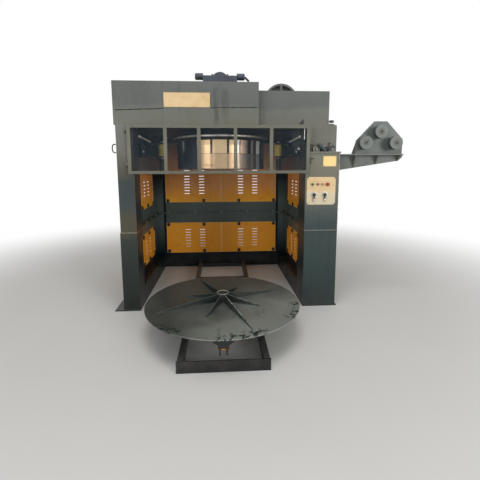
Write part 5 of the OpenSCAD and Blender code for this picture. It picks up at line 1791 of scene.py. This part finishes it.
@dataclass
class Outrigger(Assembly):
    """The T-beam to the right with its pulley plate and three guide pulleys."""

    web_y: float = -0.800
    plate_x0: float = 1.580
    centres: tuple[Span, ...] = ((1.65728, 1.91797), (1.83256, 2.04304), (2.0112, 1.91797))
    front_y: float = -0.914
    flange_top: float = 1.792
    flange_low: float = 1.778
    root_z: Span = (1.61, 1.775)

    def build(self) -> None:
        """Dresses the outrigger and adds axle ends, retaining rings and weld beads."""
        self.dress(Look.OUTRIGGER, "outrigger_beam", "pulley_plate")
        pulleys = ("left_guide_pulley", "upper_guide_pulley", "right_guide_pulley")
        self.dress(Look.GUIDE, *pulleys)
        profile = [(0, 0.001), (0.006, 0.001), (0.0075, 0.0045), (0.012, 0.0045), (0.0135, 0.002), (0.0135, 0), (0, 0)]
        ends = turned_part(profile, 20).facing(FRONT).stamped([(x, self.front_y + 0.004, z) for x, z in self.centres])
        self.piece("guide_axle_ends", ends, Look.BLACK, slot="black_iron")
        profile = [(0.024, 0), (0.024, 0.003), (0.021, 0.004), (0.0165, 0.004), (0.0165, 0), (0.024, 0)]
        ring = turned_part(profile, 28).facing(FRONT)
        for name, (x, z) in zip(pulleys, self.centres):
            placed = ring.moved(x, self.front_y - 0.0005, z)
            self.piece(f"{name}_ring", placed, Look.PALE_WELD, name, "grey_green_paint")
        y, top, low = self.web_y - 0.007, self.flange_top, self.flange_low
        welds = [bead((self.plate_x0 + 0.01, y, top), (2.135, y, top), 0.004, 31),
                 bead((1.345, y, low), (2.14, y, low), 0.004, 32),
                 bead((1.339, y, self.root_z[0]), (1.339, y, self.root_z[1]), 0.005, 33)]
        self.piece("outrigger_welds", Shape.joined(*welds), Look.PALE_WELD, slot="grey_green_paint")


@dataclass
class Turntable(Assembly):
    """The turntable on its trolley, with the hub's and the fins' welds, the wheels' caps and the tow bolt."""

    centre_y: float = -1.441
    top_z: float = 0.300
    cap_weld_r: float = 0.056
    cap_z: float = 0.388
    fin_turn: float = 22.0
    fin_reach: Span = (0.675, 0.400)
    fin_root: float = 0.020
    fin_h: Span = (0.082, 0.003)
    fin_half: float = 0.006
    rail_x: float = 0.3545
    wheel_y: float = 0.260
    wheel_z: float = 0.150
    tow_reach: float = 0.691
    tow_z: float = 0.180

    def build(self) -> None:
        """Dresses disc and clevis and adds the hub's weld, the fins' pale edges, wheel caps and the tow bolt."""
        self.dress(Look.DISC, "turntable")
        self.dress(Look.BLACK, "tow_clevis")
        self.hub()
        self.fins()
        self.wheels()
        self.tow()

    def hub(self) -> None:
        """A bare weld ring round the hub's cap: a circle of radius factor 1 + two sine waves round the Z axis."""
        n = 72
        t = np.linspace(0, 2 * math.pi, n, endpoint=False)
        swell = 1 + 0.22 * np.sin(t * 17) + 0.15 * np.sin(t * 31 + 1)
        path = np.column_stack([circle(self.cap_weld_r, n) + np.array([0, self.centre_y]), np.full(n, self.cap_z)])
        ring = carried(path, circle(0.0042, 8), closed=True, swell=swell)
        self.piece("hub_cap_weld", ring, Look.BARE_WELD, "turntable", "turntable_plate")

    def fins(self) -> None:
        """Weld beads along both sides of each fin's foot, and a strip on its sloping edge, pale with wear and painted
        highlight on the fins that point to the front right.
        """
        beads, edges, worn = [], [], []
        hub, root, (high, low) = np.array([0.0, self.centre_y, self.top_z]), self.fin_root, self.fin_h
        for k in range(8):
            reach = self.fin_reach[k % 2]
            a = math.radians(self.fin_turn + 45 * k)
            out = np.array([math.cos(a), math.sin(a), 0.0])
            side = np.array([-math.sin(a), math.cos(a), 0.0]) * self.fin_half
            for s in (-1, 1):
                start, end = hub + out * 0.064 + side * s, hub + out * (reach - 0.004) + side * s
                beads.append(bead(tuple(start), tuple(end), 0.0035, k, 1.0))
            s = np.linspace(0.05, 0.985, 24)[:, None]
            path = hub + out * (root + s * (reach - root)) + np.array([0, 0, 1.0]) * (high + (low - high) * s)
            strip = carried(path, rounded(0.0084, 0.002, 0.0008, 2))
            # Fins pointing to the front right get the pale edge: wear and painted highlight.
            (worn if out[0] > 0.3 and out[1] < 0 else edges).append(strip)
        for name, shapes, look in (("fin_welds", beads, Look.DARK_WELD), ("fin_edges", edges, Look.FIN_EDGE),
                                   ("worn_fin_edges", worn, Look.WORN_LIT_EDGE)):
            self.piece(name, Shape.joined(*shapes), look, "turntable", "turntable_plate")

    def wheels(self) -> None:
        """A turned cap on the outer face of each trolley wheel."""
        profile = [(0, 0.004), (0.014, 0.004), (0.018, 0.001), (0.040, 0.001), (0.043, 0.003), (0.047, 0.003),
                   (0.049, 0), (0, 0)]
        cap, x = turned_part(profile, 28), self.rail_x + 0.017
        caps = [cap.facing((s, 0, 0)).moved(s * x, self.centre_y + y, self.wheel_z)
                for s in (-1, 1) for y in (-self.wheel_y, self.wheel_y)]
        self.piece("wheel_caps", Shape.joined(*caps), Look.CHARCOAL, "trolley")

    def tow(self) -> None:
        """The brass bolt through the tow clevis, with its head and nut."""
        y, z = self.centre_y - self.tow_reach, self.tow_z
        bar = turned_part([(0, 0), (0.0098, 0), (0.0098, 0.038), (0, 0.038)], 20).facing((1, 0, 0)).moved(-0.019, y, z)
        head = hex_bolt(0.026, 0.010, washer=False)
        heads = [head.facing((s, 0, 0)).moved(s * 0.037, y, z) for s in (1, -1)]
        self.piece("tow_bolt", Shape.joined(bar, *heads), Look.BRASS, "trolley", "bright_steel")


@dataclass
class Studio:
    """Camera, floor and lights."""

    eye: Triple = (-0.0089, -4.5717, 1.6100)
    pitch: float = 0.133074
    yaw: float = 0.059596
    roll: float = -0.004019
    focal_px: float = 322.585
    frame_px: float = 480.0
    centre_py: float = 213.5
    sensor: float = 36.0
    floor_z: float = -0.001
    floor_radii: tuple[float, ...] = (0.0, 2.0, 4.0, 8.0, 16.0, 40.0)
    floor_fade: Span = (2.4, 6.5)
    floor_tones: tuple[Triple, Triple] = ((236, 235, 232), (228, 227, 223))
    white: tuple[float, float, float, float] = (1.0, 1.0, 1.0, 1.0)
    sky: float = 0.40
    lights: tuple[tuple[str, Triple, Triple, float, float], ...] = (
        ("key", (10.5, -14.0, 4.2), (0.0, 0.0, 1.2), 5.0, 860.0),
        ("fill", (-9.0, -14.0, 2.6), (0.0, 0.0, 1.5), 5.0, 560.0),
        ("overhead", (0.0, -3.4, 7.0), (0.0, -0.8, 0.0), 3.0, 110.0))

    def build(self) -> None:
        """Makes the camera, the floor, the world and the lamps."""
        self.camera()
        self.floor()
        self.world()
        self.lamps()

    def camera(self) -> None:
        """The camera solved from the photograph: yaw to the right, pitch down, a small roll and a small shift."""
        cy, sy, cp, sp = math.cos(self.yaw), math.sin(self.yaw), math.cos(self.pitch), math.sin(self.pitch)
        ahead = Vector((sy * cp, cy * cp, -sp))
        right = Vector((cy, -sy, 0))
        up = right.cross(ahead)
        cr, sr = math.cos(self.roll), math.sin(self.roll)
        right, up = cr * right + sr * up, -sr * right + cr * up
        data = bpy.data.cameras.new("camera")
        data.sensor_width = self.sensor
        data.lens = self.sensor * self.focal_px / self.frame_px
        data.shift_y = (self.centre_py - self.frame_px / 2) / self.frame_px
        made = bpy.data.objects.new("camera", data)
        turn = Matrix((right, up, -ahead)).transposed()
        made.matrix_world = Matrix.Translation(self.eye) @ turn.to_4x4()
        bpy.context.scene.collection.objects.link(made)
        bpy.context.scene.camera = made

    def floor(self) -> None:
        """A pale floor, level on a polar grid (r cos t, r sin t), that turns to white well away from the machine."""
        ring, radii = circle(1.0, 48), np.array(self.floor_radii)
        points = np.full((len(radii), len(ring), 3), self.floor_z)
        points[..., :2] = radii[:, None, None] * ring[None]
        shape = grid(points)
        mesh = bpy.data.meshes.new("floor")
        mesh.from_pydata(shape.points.tolist(), [], shape.faces.tolist())
        mesh.materials.append(self.floor_paint())
        made = bpy.data.objects.new("floor", mesh)
        bpy.context.scene.collection.objects.link(made)

    def floor_paint(self) -> bpy.types.Material:
        """Pale floor paint near the machine; white to the camera further out, by distance from the middle.

        Returns:
            The material.
        """
        net = Net("pale_floor")
        far = (net.x * net.x + net.y * net.y).fn("SQRT").step(*self.floor_fade)
        cloud = net.noise(0.8, 4, 0.6)
        matt = net.add("ShaderNodeBsdfDiffuse", {}, {0: net.mix(cloud, *self.floor_tones)})
        white = net.add("ShaderNodeEmission", {}, {0: self.white, 1: 1.0})
        mixed = net.add("ShaderNodeMixShader", {}, {0: far * net.seen(), 1: matt.outputs[0], 2: white.outputs[0]})
        net.add("ShaderNodeOutputMaterial", {}, {0: mixed.outputs[0]})
        return net.material

    def world(self) -> None:
        """A plain grey sky, which the camera, shiny metal and glass see as white."""
        world = bpy.data.worlds.new("studio")
        bpy.context.scene.world = world
        world.use_nodes = True
        net = Net("studio", world.node_tree)
        back = net.add("ShaderNodeBackground", {}, {0: self.white, 1: net.seen() * (1 - self.sky) + self.sky})
        net.add("ShaderNodeOutputWorld", {}, {0: back.outputs[0]})

    def lamps(self) -> None:
        """Soft area lamps: a low key from the front right, a weaker fill from the left and a weak one overhead."""
        for name, place, aim, size, power in self.lights:
            data = bpy.data.lights.new(name, "AREA")
            data.size = size
            data.energy = power
            made = bpy.data.objects.new(name, data)
            made.location = place
            made.rotation_euler = (Vector(aim) - Vector(place)).to_track_quat("-Z", "Y").to_euler()
            bpy.context.scene.collection.objects.link(made)


def main() -> None:
    """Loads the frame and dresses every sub-assembly in order."""
    logging.basicConfig(level=logging.INFO, format="%(name)s: %(message)s")
    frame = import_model()
    Studio().build()
    bpy.context.scene.view_settings.view_transform = "Standard"
    finishes = Finishes()
    for kind in (Portal, Sheets, Hoods, Drive, DrumSet, GuardDoor, PressArms, DieTable, ControlPanel, Outrigger,
                 Turntable):
        part = kind(frame, finishes)
        part.build()
        log.info("%s: %d pieces", kind.__name__, part.count)
    bpy.context.view_layer.update()


if __name__ == "__main__":
    main()
